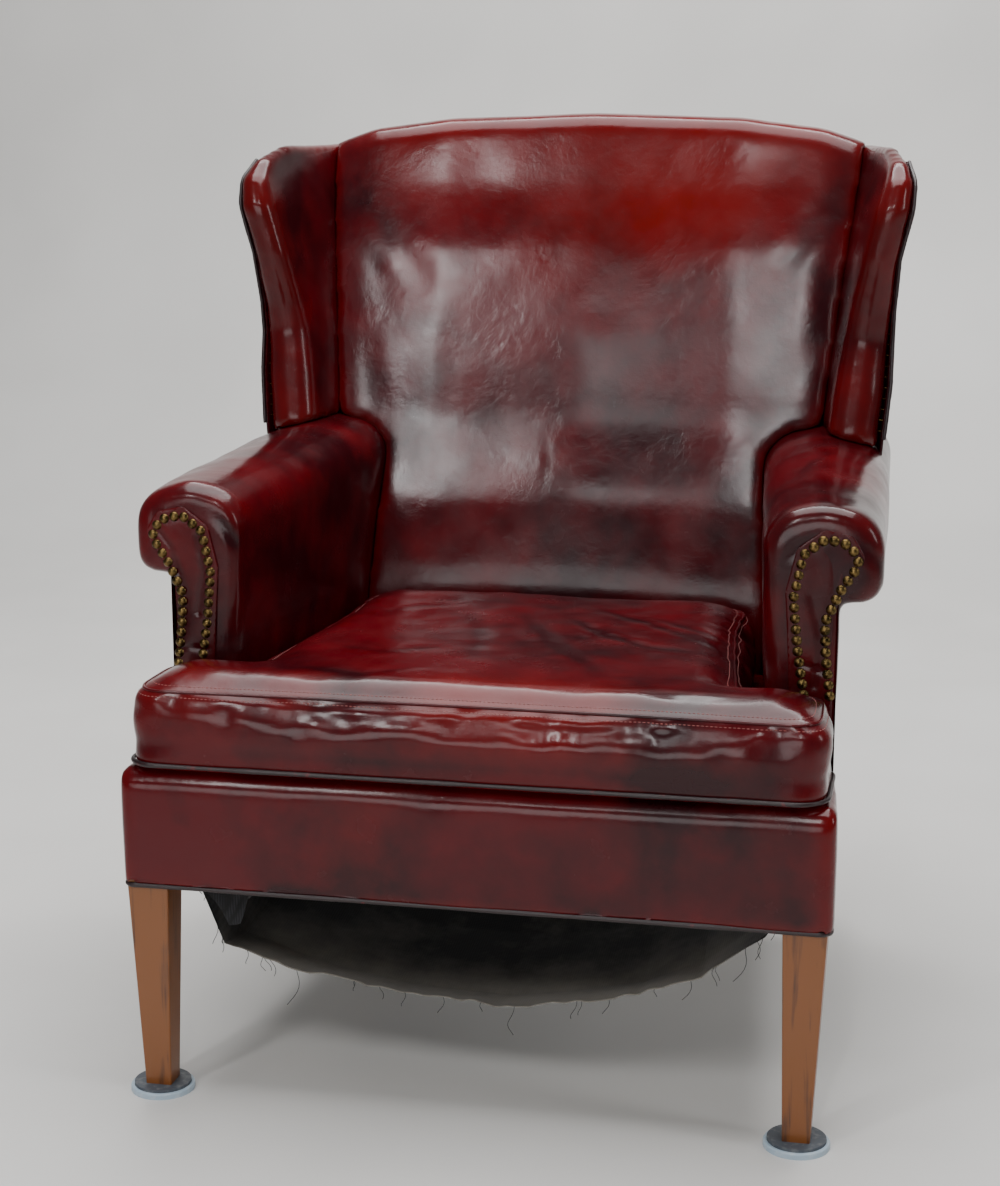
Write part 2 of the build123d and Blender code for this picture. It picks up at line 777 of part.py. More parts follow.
with BuildPart() as front_cover:
    with BuildSketch(Plane.YZ.offset(-seat_width / 2)):
        with BuildLine():
            ThreePointArc(
                (face_low_y, rail_bottom),
                (front_y, (rail_bottom + shoulder_z) / 2),
                (front_y + rail_bulge / 2, shoulder_z),
            )
            ThreePointArc(
                (front_y + rail_bulge / 2, shoulder_z),
                (
                    front_y + rail_bulge / 2 + rail_edge_radius * shoulder_share,
                    deck_top - rail_edge_radius * shoulder_share,
                ),
                (front_y + rail_bulge / 2 + rail_edge_radius, deck_top),
            )
            Line((front_y + rail_bulge / 2 + rail_edge_radius, deck_top), (arm_front_y, deck_top))
            Line((arm_front_y, deck_top), (arm_front_y, rail_bottom))
            Line((arm_front_y, rail_bottom), (face_low_y, rail_bottom))
        make_face()
    extrude(amount=seat_width)
    with BuildSketch(Plane.XY.offset(rail_bottom)):
        with BuildLine():
            FilletPolyline(
                (-side_x(front_y), front_y),
                (side_x(front_y), front_y),
                (side_x(arm_front_y), arm_front_y),
                (-side_x(arm_front_y), arm_front_y),
                radius=[rail_corner_radius, rail_corner_radius, 0, 0],
                close=True,
            )
        make_face()
    extrude(amount=deck_top - rail_bottom, mode=Mode.INTERSECT)
    with BuildSketch(at_depth(front_y)):
        with BuildLine():
            FilletPolyline(
                (-seat_width / 2, rail_bottom),
                (seat_width / 2, rail_bottom),
                (seat_width / 2, deck_top),
                (-seat_width / 2, deck_top),
                radius=[0, 0, rail_corner_radius, rail_corner_radius],
                close=True,
            )
        make_face()
    extrude(amount=-arm_front_depth, mode=Mode.INTERSECT)
    with BuildSketch(Plane.XY.offset(rail_bottom)):
        with BuildLine():
            Polyline(
                (-frame_side_front_x, front_y + cover_thickness),
                (frame_side_front_x, front_y + cover_thickness),
                (frame_side_arm_x, arm_front_y),
                (-frame_side_arm_x, arm_front_y),
                close=True,
            )
        make_face()
    extrude(amount=rail_height, mode=Mode.SUBTRACT)
    for piece in (seat_hessian, front_leg_right, front_leg_left):
        add(piece.part, mode=Mode.SUBTRACT)
front_cover.part.label = "front_cover"
export_step(front_cover.part, "parts/front_cover.step")

# Arm pads: a closed front roll over the stump, then the inside pad and roll round the board
behind_back_far = back_y + chair_depth

with BuildPart() as behind_back:
    with BuildSketch(Plane.YZ.offset(-seat_width)):
        with BuildLine():
            Polyline(
                (outside_back_y(0) - cover_thickness, 0),
                (behind_back_far, 0),
                (behind_back_far, chair_height),
                (outside_back_y(chair_height) - cover_thickness, chair_height),
                close=True,
            )
        make_face()
    extrude(amount=seat_width * 2)

front_roll_shares = [(0, 0.64), (0.14, 0.32), (0.4, 0.1), (1, 0)]
arm_run_end_y = outside_back_y(arm_top_height)
arm_run_depths = [
    arm_front_y + arm_front_roll,
    arm_front_y + (arm_run_end_y - arm_front_y) / 2,
    arm_run_end_y,
]
arm_cheek = arm_wrap / 2


def arm_run_corners(y):
    """Corners of the arm's inside pad and roll behind the stump."""
    inner = arm_inner_x(y)
    outer = arm_outer_x(y)
    top = arm_top_z(y)
    shoulder = top - arm_shoulder_drop
    lining = slat_inner_x(y)
    return [
        (inner + arm_base_flare, rail_top),
        (inner + arm_base_flare / 2, arm_waist_height),
        (inner, shoulder),
        ((inner + outer) / 2, top),
        (outer, shoulder),
        (outer, arm_roll_underside),
        (board_centre_x + arm_cheek, arm_roll_underside),
        (board_centre_x, board_bottom - arm_cheek),
        (lining, board_bottom - arm_cheek - arm_wrap),
        (lining, rail_top),
    ]


arm_run_radii = [2, 60, 48, 70, 42, 24, 4, 3, 8, 2]

with BuildPart() as arm_pad_right:
    for depth_share, inset_share in front_roll_shares:
        section_y = arm_front_y + arm_front_roll * depth_share
        section_inset = arm_front_roll * inset_share
        section_corners = arm_corners(section_y, section_inset)
        section_radii = [max(radius - section_inset, leg_edge_radius) for radius in arm_radii]
        with BuildSketch(at_depth(section_y)):
            with BuildLine():
                FilletPolyline(*section_corners, radius=section_radii, close=True)
            make_face()
    loft(ruled=True)
    for section_y in arm_run_depths:
        with BuildSketch(at_depth(section_y)):
            with BuildLine():
                FilletPolyline(*arm_run_corners(section_y), radius=arm_run_radii, close=True)
            make_face()
    loft(ruled=True)
    for piece in (
        arm_stump_right,
        arm_board_right,
        arm_slat_right,
        back_post_right,
        side_rail_right,
        wing_post_right,
        lower_back_rail,
        back_webbing,
        behind_back,
    ):
        add(piece.part, mode=Mode.SUBTRACT)
    add(seat_hessian.part, mode=Mode.SUBTRACT)
    arm_pad_body = arm_pad_right.solids().sort_by(SortBy.VOLUME)[-1]
    add(arm_pad_body, mode=Mode.INTERSECT)
arm_pad_right.part.label = "arm_pad_right"
export_step(arm_pad_right.part, "parts/arm_pad_right.step")

with BuildPart() as arm_pad_left:
    mirror(arm_pad_right.part, about=Plane.YZ)
arm_pad_left.part.label = "arm_pad_left"
export_step(arm_pad_left.part, "parts/arm_pad_left.step")

# Facing panels on the arm fronts, as shares of the arm front's width and height
arm_front_width = arm_outer_front - arm_gap_front / 2
arm_front_height = arm_top_height - rail_top
facing_shares = [
    (0.299, 0.072),
    (0.236, 0.556),
    (0.213, 0.693),
    (0.299, 0.843),
    (0.520, 0.912),
    (0.756, 0.892),
    (0.866, 0.814),
    (0.740, 0.729),
    (0.614, 0.647),
    (0.598, 0.490),
    (0.638, 0.072),
]
facing_front_y = arm_front_y - panel_thickness
facing_corners = [
    (arm_gap_front / 2 + arm_front_width * across, rail_top + arm_front_height * up)
    for across, up in facing_shares
]

with BuildPart() as arm_facing_right:
    with BuildSketch(at_depth(facing_front_y)):
        with BuildLine():
            FilletPolyline(*facing_corners, radius=facing_corner_radius, close=True)
        make_face()
    extrude(amount=-panel_thickness)
arm_facing_right.part.label = "arm_facing_right"
export_step(arm_facing_right.part, "parts/arm_facing_right.step")

with BuildPart() as arm_facing_left:
    mirror(arm_facing_right.part, about=Plane.YZ)
arm_facing_left.part.label = "arm_facing_left"
export_step(arm_facing_left.part, "parts/arm_facing_left.step")

# Domed nails along the facing's edge
nail_line_shares = [
    (0.386, 0.333),
    (0.323, 0.497),
    (0.283, 0.673),
    (0.354, 0.824),
    (0.535, 0.880),
    (0.732, 0.860),
    (0.815, 0.800),
    (0.661, 0.700),
    (0.545, 0.590),
    (0.559, 0.474),
    (0.600, 0.333),
]
nail_dome_radius = (nail_head_diameter**2 / 4 + nail_head_height**2) / (2 * nail_head_height)
nail_mid_x = nail_head_diameter / 4
nail_mid_z = sqrt(nail_dome_radius**2 - nail_mid_x**2) - nail_dome_radius + nail_head_height

with BuildPart() as arm_nail:
    with BuildSketch(Plane.XZ):
        with BuildLine():
            ThreePointArc(
                (nail_head_diameter / 2, 0), (nail_mid_x, nail_mid_z), (0, nail_head_height)
            )
            Polyline(
                (0, nail_head_height),
                (0, -nail_shank_length),
                (nail_shank_diameter / 2, -nail_shank_length),
                (nail_shank_diameter / 2, 0),
                (nail_head_diameter / 2, 0),
            )
        make_face()
    revolve(axis=Axis.Z)

with BuildLine(at_depth(facing_front_y)) as nail_line:
    FilletPolyline(
        *[
            (arm_gap_front / 2 + arm_front_width * across, rail_top + arm_front_height * up)
            for across, up in nail_line_shares
        ],
        radius=facing_corner_radius,
    )
nail_line_length = sum(edge.length for edge in nail_line.edges())
nail_count = round(nail_line_length / nail_pitch) + 1
nail_planes = [
    Plane(origin=nail_line.line @ (nail / (nail_count - 1)), z_dir=(0, -1, 0))
    for nail in range(nail_count)
]

with BuildPart() as arm_nails_right:
    with Locations(*nail_planes):
        add(arm_nail.part)
arm_nails_right.part.label = "arm_nails_right"
export_step(arm_nails_right.part, "parts/arm_nails_right.step")

with BuildPart() as arm_nails_left:
    mirror(arm_nails_right.part, about=Plane.YZ)
arm_nails_left.part.label = "arm_nails_left"
export_step(arm_nails_left.part, "parts/arm_nails_left.step")

# Wings: padded inside with a rolled front edge, flat outside panel
with BuildPart() as wing_pad_right:
    for height in wing_heights:
        front, outer, inner = wing_row(height)
        back_end = outside_back_y(height) - cover_thickness
        fold = crease_y(height) + wing_fold
        with BuildSketch(Plane.XY.offset(height)):
            with BuildLine():
                FilletPolyline(
                    (outer - panel_thickness, front),
                    (wing_side_x(height) - panel_thickness, back_end),
                    (crease_x(height) - wing_fold, back_end),
                    (crease_x(height) - wing_fold / 4, fold),
                    (inner, front),
                    radius=[
                        (outer - inner) * wing_roll_share,
                        0,
                        0,
                        wing_crease_radius,
                        (outer - inner) * wing_roll_share,
                    ],
                    close=True,
                )
            make_face()
    loft(ruled=True)
    for piece in (
        arm_pad_right,
        arm_board_right,
        wing_post_right,
        wing_rail_right,
        back_post_right,
        crest_rail,
        back_webbing,
    ):
        add(piece.part, mode=Mode.SUBTRACT)
    wing_pad_body = wing_pad_right.solids().sort_by(SortBy.VOLUME)[-1]
    add(wing_pad_body, mode=Mode.INTERSECT)
wing_pad_right.part.label = "wing_pad_right"
export_step(wing_pad_right.part, "parts/wing_pad_right.step")

with BuildPart() as wing_pad_left:
    mirror(wing_pad_right.part, about=Plane.YZ)
wing_pad_left.part.label = "wing_pad_left"
export_step(wing_pad_left.part, "parts/wing_pad_left.step")

with BuildPart() as wing_panel_right:
    for height in wing_heights[:-1]:
        front, outer, inner = wing_row(height)
        panel_front = front + wing_panel_setback
        back_end = outside_back_y(height) - cover_thickness
        run_share = wing_panel_setback / (back_end - front)
        panel_x = outer + (wing_side_x(height) - outer) * run_share
        with BuildSketch(Plane.XY.offset(height)):
            with BuildLine():
                Polyline(
                    (panel_x, panel_front),
                    (wing_side_x(height), back_end),
                    (wing_side_x(height) - panel_thickness, back_end),
                    (panel_x - panel_thickness, panel_front),
                    close=True,
                )
            make_face()
    loft(ruled=True)
    for piece in (arm_pad_right, wing_pad_right, wing_post_right, wing_rail_right, arm_board_right):
        add(piece.part, mode=Mode.SUBTRACT)
    wing_panel_body = wing_panel_right.solids().sort_by(SortBy.VOLUME)[-1]
    add(wing_panel_body, mode=Mode.INTERSECT)
wing_panel_right.part.label = "wing_panel_right"
export_step(wing_panel_right.part, "parts/wing_panel_right.step")

with BuildPart() as wing_panel_left:
    mirror(wing_panel_right.part, about=Plane.YZ)
wing_panel_left.part.label = "wing_panel_left"
export_step(wing_panel_left.part, "parts/wing_panel_left.step")

welt_start = arm_top_z(front_y + wing_front_depth) - wing_welt_radius * 2
welt_heights = [welt_start] + [height for height in wing_heights[2:-1]]
welt_depth_in = wing_panel_setback - wing_welt_radius - running_gap
welt_lift = Vector(wing_welt_radius - panel_thickness + running_gap, 0, 0)

with BuildPart() as wing_welt_right:
    with BuildLine() as welt_path:
        FilletPolyline(
            *[wing_outside(height, welt_depth_in) + welt_lift for height in welt_heights],
            radius=wing_welt_bend,
        )
    with BuildSketch(Plane(origin=welt_path.line @ 0, z_dir=welt_path.line % 0)):
        Circle(wing_welt_radius)
    sweep()
    for piece in (arm_pad_right, wing_pad_right, wing_panel_right):
        add(piece.part, mode=Mode.SUBTRACT)
    wing_welt_body = wing_welt_right.solids().sort_by(SortBy.VOLUME)[-1]
    add(wing_welt_body, mode=Mode.INTERSECT)
wing_welt_right.part.label = "wing_welt_right"
export_step(wing_welt_right.part, "parts/wing_welt_right.step")

with BuildPart() as wing_welt_left:
    mirror(wing_welt_right.part, about=Plane.YZ)
wing_welt_left.part.label = "wing_welt_left"
export_step(wing_welt_left.part, "parts/wing_welt_left.step")

wing_nail_scale_share = wing_nail_head_diameter / nail_head_diameter
wing_nail_depth_in = wing_panel_setback + wing_nail_head_diameter
wing_nail_start = welt_start + wing_nail_head_diameter
wing_nail_end = wing_heights[-3]
wing_nail_count = round((wing_nail_end - wing_nail_start) / wing_nail_pitch) + 1
wing_nail_planes = []
for nail in range(wing_nail_count):
    nail_share = nail / (wing_nail_count - 1)
    nail_height = wing_nail_start + (wing_nail_end - wing_nail_start) * nail_share
    nail_spot = wing_outside(nail_height, wing_nail_depth_in)
    nail_behind = wing_outside(nail_height, wing_nail_depth_in + wing_nail_pitch)
    nail_above = wing_outside(nail_height + wing_nail_head_diameter / 2, wing_nail_depth_in)
    nail_normal = (nail_behind - nail_spot).cross(nail_above - nail_spot)
    wing_nail_planes.append(Plane(origin=nail_spot, z_dir=nail_normal))

with BuildPart() as wing_nail:
    add(scale(arm_nail.part, by=wing_nail_scale_share, mode=Mode.PRIVATE))

with BuildPart() as wing_nails_right:
    with Locations(*wing_nail_planes):
        add(wing_nail.part)
wing_nails_right.part.label = "wing_nails_right"
export_step(wing_nails_right.part, "parts/wing_nails_right.step")

with BuildPart() as wing_nails_left:
    mirror(wing_nails_right.part, about=Plane.YZ)
wing_nails_left.part.label = "wing_nails_left"
export_step(wing_nails_left.part, "parts/wing_nails_left.step")

# Inside back: a crowned pad that rolls over the crest
# Share of the back's height, then of its run from the seat to the top
back_front_shares = [
    (0.000, 0.000),
    (0.170, 0.045),
    (0.320, 0.215),
    (0.455, 0.430),
    (0.610, 0.590),
    (0.760, 0.745),
    (0.865, 0.874),
]
# Share of the crown at each of those heights
back_crown_shares = [0.15, 0.25, 0.75, 1.0, 1.0, 0.9, 0.6]
# Share of the back's half width, then of the crown, then of the drop of its top edge
back_section_shares = [
    (-1.00, 0.0, 1.00),
    (-0.85, 0.5, 0.52),
    (-0.54, 0.85, 0.13),
    (0.00, 1.0, 0.00),
    (0.54, 0.85, 0.13),
    (0.85, 0.5, 0.52),
    (1.00, 0.0, 1.00),
]
back_pad_height = chair_height - rail_top
back_seat_y = front_y + back_seat_depth
back_run = front_y + crease_high_depth - back_seat_y
crest_middle_y = crest_front_y + crest_thickness / 2
lip_z = post_top - back_rear_radius
back_radii = [0] + [back_bend_radius] * 6 + [back_top_radius, back_rear_radius, 0, 0, 0, 0, 0]

with BuildPart() as back_pad:
    for across_share, crown_share, drop_share in back_section_shares:
        section_top = chair_height - back_top_arch * drop_share
        front_points = [
            (
                back_seat_y + back_run * run_share - back_crown * crown_share * depth_share,
                rail_top + hessian_thickness + back_pad_height * up_share,
            )
            for (up_share, run_share), depth_share in zip(back_front_shares, back_crown_shares)
        ]
        web_high_y = post_centre_y(crest_bottom) - post_side / 2 - webbing_thickness
        web_low_y = post_centre_y(rail_top) - post_side / 2 - webbing_thickness
        with BuildSketch(Plane.YZ.offset(crease_high_half * across_share)):
            with BuildLine():
                FilletPolyline(
                    *front_points,
                    (back_seat_y + back_run - back_crown * crown_share / 2, section_top),
                    (outside_back_y(section_top) - cover_thickness, section_top),
                    (outside_back_y(lip_z) - cover_thickness, lip_z),
                    (crest_middle_y, lip_z),
                    (crest_middle_y, crest_bottom),
                    (web_high_y, crest_bottom),
                    (web_low_y, rail_top + hessian_thickness),
                    radius=back_radii,
                    close=True,
                )
            make_face()
    loft(ruled=True)
    with BuildSketch(at_depth(back_seat_y - back_crown * 2)):
        with BuildLine():
            Polyline(
                (-arm_inner_x(arm_run_end_y) - back_lap, rail_top),
                (arm_inner_x(arm_run_end_y) + back_lap, rail_top),
                (crease_x(arm_waist_height) - back_lap, arm_roll_underside),
                (crease_low_half + back_lap / 4, arm_top_height),
                (crease_high_half + back_lap / 4, chair_height),
                (-crease_high_half - back_lap / 4, chair_height),
                (-crease_low_half - back_lap / 4, arm_top_height),
                (-crease_x(arm_waist_height) + back_lap, arm_roll_underside),
                close=True,
            )
        make_face()
    extrude(amount=-chair_depth, mode=Mode.INTERSECT)
    for piece in (
        crest_rail,
        back_post_right,
        back_post_left,
        wing_rail_right,
        wing_rail_left,
        arm_pad_right,
        arm_pad_left,
        wing_pad_right,
        wing_pad_left,
    ):
        add(piece.part, mode=Mode.SUBTRACT)
    back_pad_body = back_pad.solids().sort_by(SortBy.VOLUME)[-1]
    add(back_pad_body, mode=Mode.INTERSECT)
back_pad.part.label = "back_pad"
export_step(back_pad.part, "parts/back_pad.step")

# Padded deck behind the front cover, between the arms
with BuildPart() as deck_pad:
    with BuildSketch(Plane.XY.offset(rail_top + hessian_thickness)):
        with BuildLine():
            Polyline(
                (-arm_inner_x(arm_front_y) - arm_base_flare, arm_front_y),
                (arm_inner_x(arm_front_y) + arm_base_flare, arm_front_y),
                (arm_inner_x(back_seat_y) + arm_base_flare, back_seat_y),
                (-arm_inner_x(back_seat_y) - arm_base_flare, back_seat_y),
                close=True,
            )
        make_face()
    extrude(amount=deck_top - rail_top - hessian_thickness)
    for piece in (arm_pad_right, arm_pad_left, back_pad, arm_stump_right, arm_stump_left):
        add(piece.part, mode=Mode.SUBTRACT)
deck_pad.part.label = "deck_pad"
export_step(deck_pad.part, "parts/deck_pad.step")

# Outside panels below the arms
side_panel_rows = [
    (rail_bottom, side_x(arm_front_y)),
    (post_splay_base, side_x(arm_front_y)),
    (arm_roll_underside, side_x(arm_front_y)),
]

with BuildPart() as side_panel_right:
    for height, panel_x in side_panel_rows:
        back_end = outside_back_y(height) - cover_thickness
        with BuildSketch(Plane.XY.offset(height)):
            with BuildLine():
                Polyline(
                    (panel_x, arm_front_y),
                    (wing_side_x(height), back_end),
                    (wing_side_x(height) - cover_thickness, back_end),
                    (panel_x - cover_thickness, arm_front_y),
                    close=True,
                )
            make_face()
    loft(ruled=True)
    for piece in (arm_pad_right, arm_stump_right, side_rail_right, back_post_right, arm_board_right):
        add(piece.part, mode=Mode.SUBTRACT)
    side_panel_body = side_panel_right.solids().sort_by(SortBy.VOLUME)[-1]
    add(side_panel_body, mode=Mode.INTERSECT)
side_panel_right.part.label = "side_panel_right"
export_step(side_panel_right.part, "parts/side_panel_right.step")

with BuildPart() as side_panel_left:
    mirror(side_panel_right.part, about=Plane.YZ)
side_panel_left.part.label = "side_panel_left"
export_step(side_panel_left.part, "parts/side_panel_left.step")

# Outside back panel, from the rail's bottom to just under the roll
with BuildPart() as outside_back:
    with BuildSketch(Plane.YZ.offset(-seat_width / 2)):
        with BuildLine():
            Polyline(
                (outside_back_y(rail_bottom), rail_bottom),
                (outside_back_y(chair_height), chair_height),
                (outside_back_y(chair_height) - cover_thickness, chair_height),
                (outside_back_y(rail_bottom) - cover_thickness, rail_bottom),
                close=True,
            )
        make_face()
    extrude(amount=seat_width)
    with BuildSketch(at_depth(base_rear_y - leg_side)):
        with BuildLine():
            Line((-rear_width / 2, rail_bottom), (rear_width / 2, rail_bottom))
            Line((rear_width / 2, rail_bottom), (rear_width / 2, post_splay_base))
            Line((rear_width / 2, post_splay_base), (wing_side_x(post_top), post_top))
            ThreePointArc(
                (wing_side_x(post_top), post_top),
                (0, chair_height - back_top_drop),
                (-wing_side_x(post_top), post_top),
            )
            Line((-wing_side_x(post_top), post_top), (-rear_width / 2, post_splay_base))
            Line((-rear_width / 2, post_splay_base), (-rear_width / 2, rail_bottom))
        make_face()
    extrude(amount=-chair_depth, mode=Mode.INTERSECT)
outside_back.part.label = "outside_back"
export_step(outside_back.part, "parts/outside_back.step")

# Welt along the bottom edge of the base
welt_out = base_welt_radius
base_welt_front_y = front_y + welt_out + rail_bulge / 2
base_welt_back_y = base_rear_y - welt_out

with BuildPart() as base_welt:
    with BuildLine(Plane.XY.offset(rail_bottom - base_welt_radius)) as base_welt_path:
        FilletPolyline(
            (-side_x(base_welt_front_y) + welt_out, base_welt_front_y),
            (side_x(base_welt_front_y) - welt_out, base_welt_front_y),
            (side_x(base_welt_back_y) - welt_out, base_welt_back_y),
            (-side_x(base_welt_back_y) + welt_out, base_welt_back_y),
            radius=rail_corner_radius - welt_out,
            close=True,
        )
    welt_plane = Plane(origin=base_welt_path.line @ 0, z_dir=base_welt_path.line % 0)
    with BuildSketch(welt_plane):
        Circle(base_welt_radius)
    sweep()
    for piece in (back_post_right, back_post_left, front_leg_right, front_leg_left):
        add(piece.part, mode=Mode.SUBTRACT)
    base_welt_body = base_welt.solids().sort_by(SortBy.VOLUME)[-1]
    add(base_welt_body, mode=Mode.INTERSECT)
base_welt.part.label = "base_welt"
export_step(base_welt.part, "parts/base_welt.step")

# Seat cushion: T-shaped and boxed, with drawn-in sides and a crowned top
ear_depth = arm_front_depth - panel_thickness - nail_head_height - cushion_side_gap
ear_x = seat_width / 2 - ear_inset
cushion_front_y = front_y - cushion_overhang
cushion_ear_y = front_y + ear_depth
cushion_back_y = back_seat_y - back_crown / 2 - cushion_side_gap


def cushion_corners(inset):
    """Corners of the cushion's T, drawn in by an inset."""
    front_half = arm_inner_x(arm_front_y) - cushion_side_gap - inset
    back_half = arm_inner_x(cushion_back_y) - cushion_side_gap - inset
    return [
        (-ear_x + inset, cushion_front_y + inset),
        (ear_x - inset, cushion_front_y + inset),
        (ear_x - inset, cushion_ear_y - inset),
        (front_half, cushion_ear_y - inset),
        (back_half, cushion_back_y - inset),
        (-back_half, cushion_back_y - inset),
        (-front_half, cushion_ear_y - inset),
        (-ear_x + inset, cushion_ear_y - inset),
    ]


def cushion_radii(inset):
    """Corner radii that shrink as the outline is drawn in."""
    convex = cushion_corner_radius - inset * convex_shrink_share
    concave = cushion_inner_radius + inset * concave_growth_share
    return [convex, convex, convex, concave, convex, convex, concave, convex]


# Share of the boxing's height, then of the cushion's puff
boxing_shares = [
    (0.00, 1.50),
    (0.02, 1.00),
    (0.14, 1.00),
    (0.36, 0.20),
    (0.64, 0.00),
    (0.90, 0.35),
    (1.00, 0.90),
]
# Share of the crown's height, then of the run in from the seam
crown_shares = [(0.28, 0.24), (0.56, 0.52), (0.82, 1.00)]

with BuildPart() as cushion_core:
    with BuildSketch(Plane.XY.offset(cushion_bottom + cushion_cover_thickness)):
        with BuildLine():
            FilletPolyline(
                *cushion_corners(cushion_puff + cushion_cover_thickness),
                radius=cushion_radii(cushion_puff + cushion_cover_thickness),
                close=True,
            )
        make_face()
    extrude(amount=cushion_seam_height - cushion_cover_thickness)
cushion_core.part.label = "cushion_core"
export_step(cushion_core.part, "parts/cushion_core.step")

with BuildPart() as cushion:
    cushion_rows = [
        (cushion_bottom + cushion_seam_height * up_share, cushion_puff * in_share)
        for up_share, in_share in boxing_shares
    ] + [
        (
            cushion_bottom + cushion_seam_height + cushion_crown * up_share,
            cushion_puff + cushion_crown_run * in_share,
        )
        for up_share, in_share in crown_shares
    ]
    for height, inset in cushion_rows:
        with BuildSketch(Plane.XY.offset(height)):
            with BuildLine():
                FilletPolyline(*cushion_corners(inset), radius=cushion_radii(inset), close=True)
            make_face()
    loft(ruled=True)
    add(cushion_core.part, mode=Mode.SUBTRACT)
cushion.part.label = "cushion"
export_step(cushion.part, "parts/cushion.step")

cushion_welt_inset = cushion_puff - cushion_welt_radius
cushion_welt_z = cushion_bottom + cushion_seam_height * cushion_welt_share

with BuildPart() as cushion_welt:
    with BuildLine(Plane.XY.offset(cushion_welt_z)) as cushion_welt_path:
        FilletPolyline(
            *cushion_corners(cushion_welt_inset),
            radius=cushion_radii(cushion_welt_inset),
            close=True,
        )
    welt_plane = Plane(origin=cushion_welt_path.line @ 0, z_dir=cushion_welt_path.line % 0)
    with BuildSketch(welt_plane):
        Circle(cushion_welt_radius)
    sweep()
cushion_welt.part.label = "cushion_welt"
export_step(cushion_welt.part, "parts/cushion_welt.step")

# Dust cover: torn free at the front, sagging, still tacked at the sides and back
# Share of the seat's run behind the free edge, then of the sag
dust_run_shares = [
    (0.00, 1.00),
    (0.09, 1.08),
    (0.30, 0.92),
    (0.56, 0.55),
    (0.80, 0.18),
    (0.96, 0.01),
    (1.00, 0.005),
]
# Share of the half width, then of the sag, across the free edge
dust_across_shares = [
    (-1.00, 0.00),
    (-0.94, 0.04),
    (-0.84, 0.66),
    (-0.60, 0.84),
    (-0.27, 0.97),
    (0.06, 1.00),
    (0.25, 0.93),
    (0.50, 0.81),
    (0.69, 0.62),
    (0.88, 0.27),
    (0.94, 0.03),
    (1.00, 0.00),
]
dust_front_y = front_y + dust_cover_front
dust_back_y = back_rail_y + dust_cover_margin / 4
dust_top_z = rail_bottom
dust_rows = []
for run_share, sag_share in dust_run_shares:
    dust_row_y = dust_front_y + (dust_back_y - dust_front_y) * run_share
    dust_half = side_x(dust_row_y) - dust_cover_margin
    if dust_row_y > back_block_y - block_leg:
        dust_half = post_x - post_side / 2 - running_gap
    dust_rows.append((dust_row_y, dust_half, dust_sag * sag_share))

with BuildPart() as dust_cover:
    for dust_row_y, dust_half, dust_drop in dust_rows:
        upper = [
            (dust_half * across, dust_top_z - dust_drop * drop)
            for across, drop in dust_across_shares
        ]
        lower = [(across, height - dust_cover_thickness) for across, height in reversed(upper)]
        with BuildSketch(at_depth(dust_row_y)):
            with BuildLine():
                Polyline(*upper, *lower, close=True)
            make_face()
    loft(ruled=True)
    add(back_post_right.part, mode=Mode.SUBTRACT)
    add(back_post_left.part, mode=Mode.SUBTRACT)
dust_cover.part.label = "dust_cover"
export_step(dust_cover.part, "parts/dust_cover.step")

dust_tack_z = rail_bottom - dust_cover_thickness
dust_side_run = back_block_y - block_leg - dust_front_y
dust_side_count = int(dust_side_run / dust_tack_pitch) + 1
dust_side_step = (dust_side_run - dust_tack_head_diameter * 2) / (dust_side_count - 1)
dust_tack_places = []
for tack in range(dust_side_count):
    tack_y = dust_front_y + dust_tack_head_diameter + dust_side_step * tack
    tack_x = (side_x(tack_y) - dust_cover_margin) * tack_reach_share
    dust_tack_places.append((tack_x, tack_y))
    dust_tack_places.append((-tack_x, tack_y))
dust_back_count = int((post_x - post_side) * 2 / dust_tack_pitch)
for tack in range(dust_back_count):
    tack_x = (tack - (dust_back_count - 1) / 2) * dust_tack_pitch
    dust_tack_places.append((tack_x, back_rail_y))

with BuildPart() as dust_tacks:
    with BuildSketch(Plane.XY.offset(dust_tack_z)):
        with Locations(*dust_tack_places):
            Circle(dust_tack_head_diameter / 2)
    extrude(amount=-dust_tack_head_height)
    with BuildSketch(Plane.XY.offset(dust_tack_z)):
        with Locations(*dust_tack_places):
            Circle(dust_tack_shank_diameter / 2)
    extrude(amount=dust_tack_shank_length)
dust_tacks.part.label = "dust_tacks"
export_step(dust_tacks.part, "parts/dust_tacks.step")
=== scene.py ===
"""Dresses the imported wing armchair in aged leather, brass nails, stained wood and cloth."""

import json
from itertools import product
from math import cos, pi, radians, sin

import bmesh
import bpy
import numpy as np
from bpy.props import FloatProperty, FloatVectorProperty, IntProperty, PointerProperty
from mathutils import Euler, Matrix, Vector
from mathutils.bvhtree import BVHTree


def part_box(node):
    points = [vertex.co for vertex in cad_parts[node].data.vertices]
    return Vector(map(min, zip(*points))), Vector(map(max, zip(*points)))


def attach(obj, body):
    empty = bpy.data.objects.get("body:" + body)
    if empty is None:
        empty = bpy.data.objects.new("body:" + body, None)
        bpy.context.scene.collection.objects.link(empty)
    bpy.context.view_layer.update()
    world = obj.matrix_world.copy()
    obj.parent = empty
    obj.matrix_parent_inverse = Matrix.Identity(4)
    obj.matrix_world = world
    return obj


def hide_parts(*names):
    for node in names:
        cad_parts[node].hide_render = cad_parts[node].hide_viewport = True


bl_info = {
    "name": "Leather Wing Armchair",
    "version": (1, 0, 0),
    "blender": (4, 5, 0),
    "location": "3D View > Sidebar > Armchair",
    "description": "Dresses a wing armchair in aged leather, brass nails, stained wood and cloth",
    "category": "Object",
}

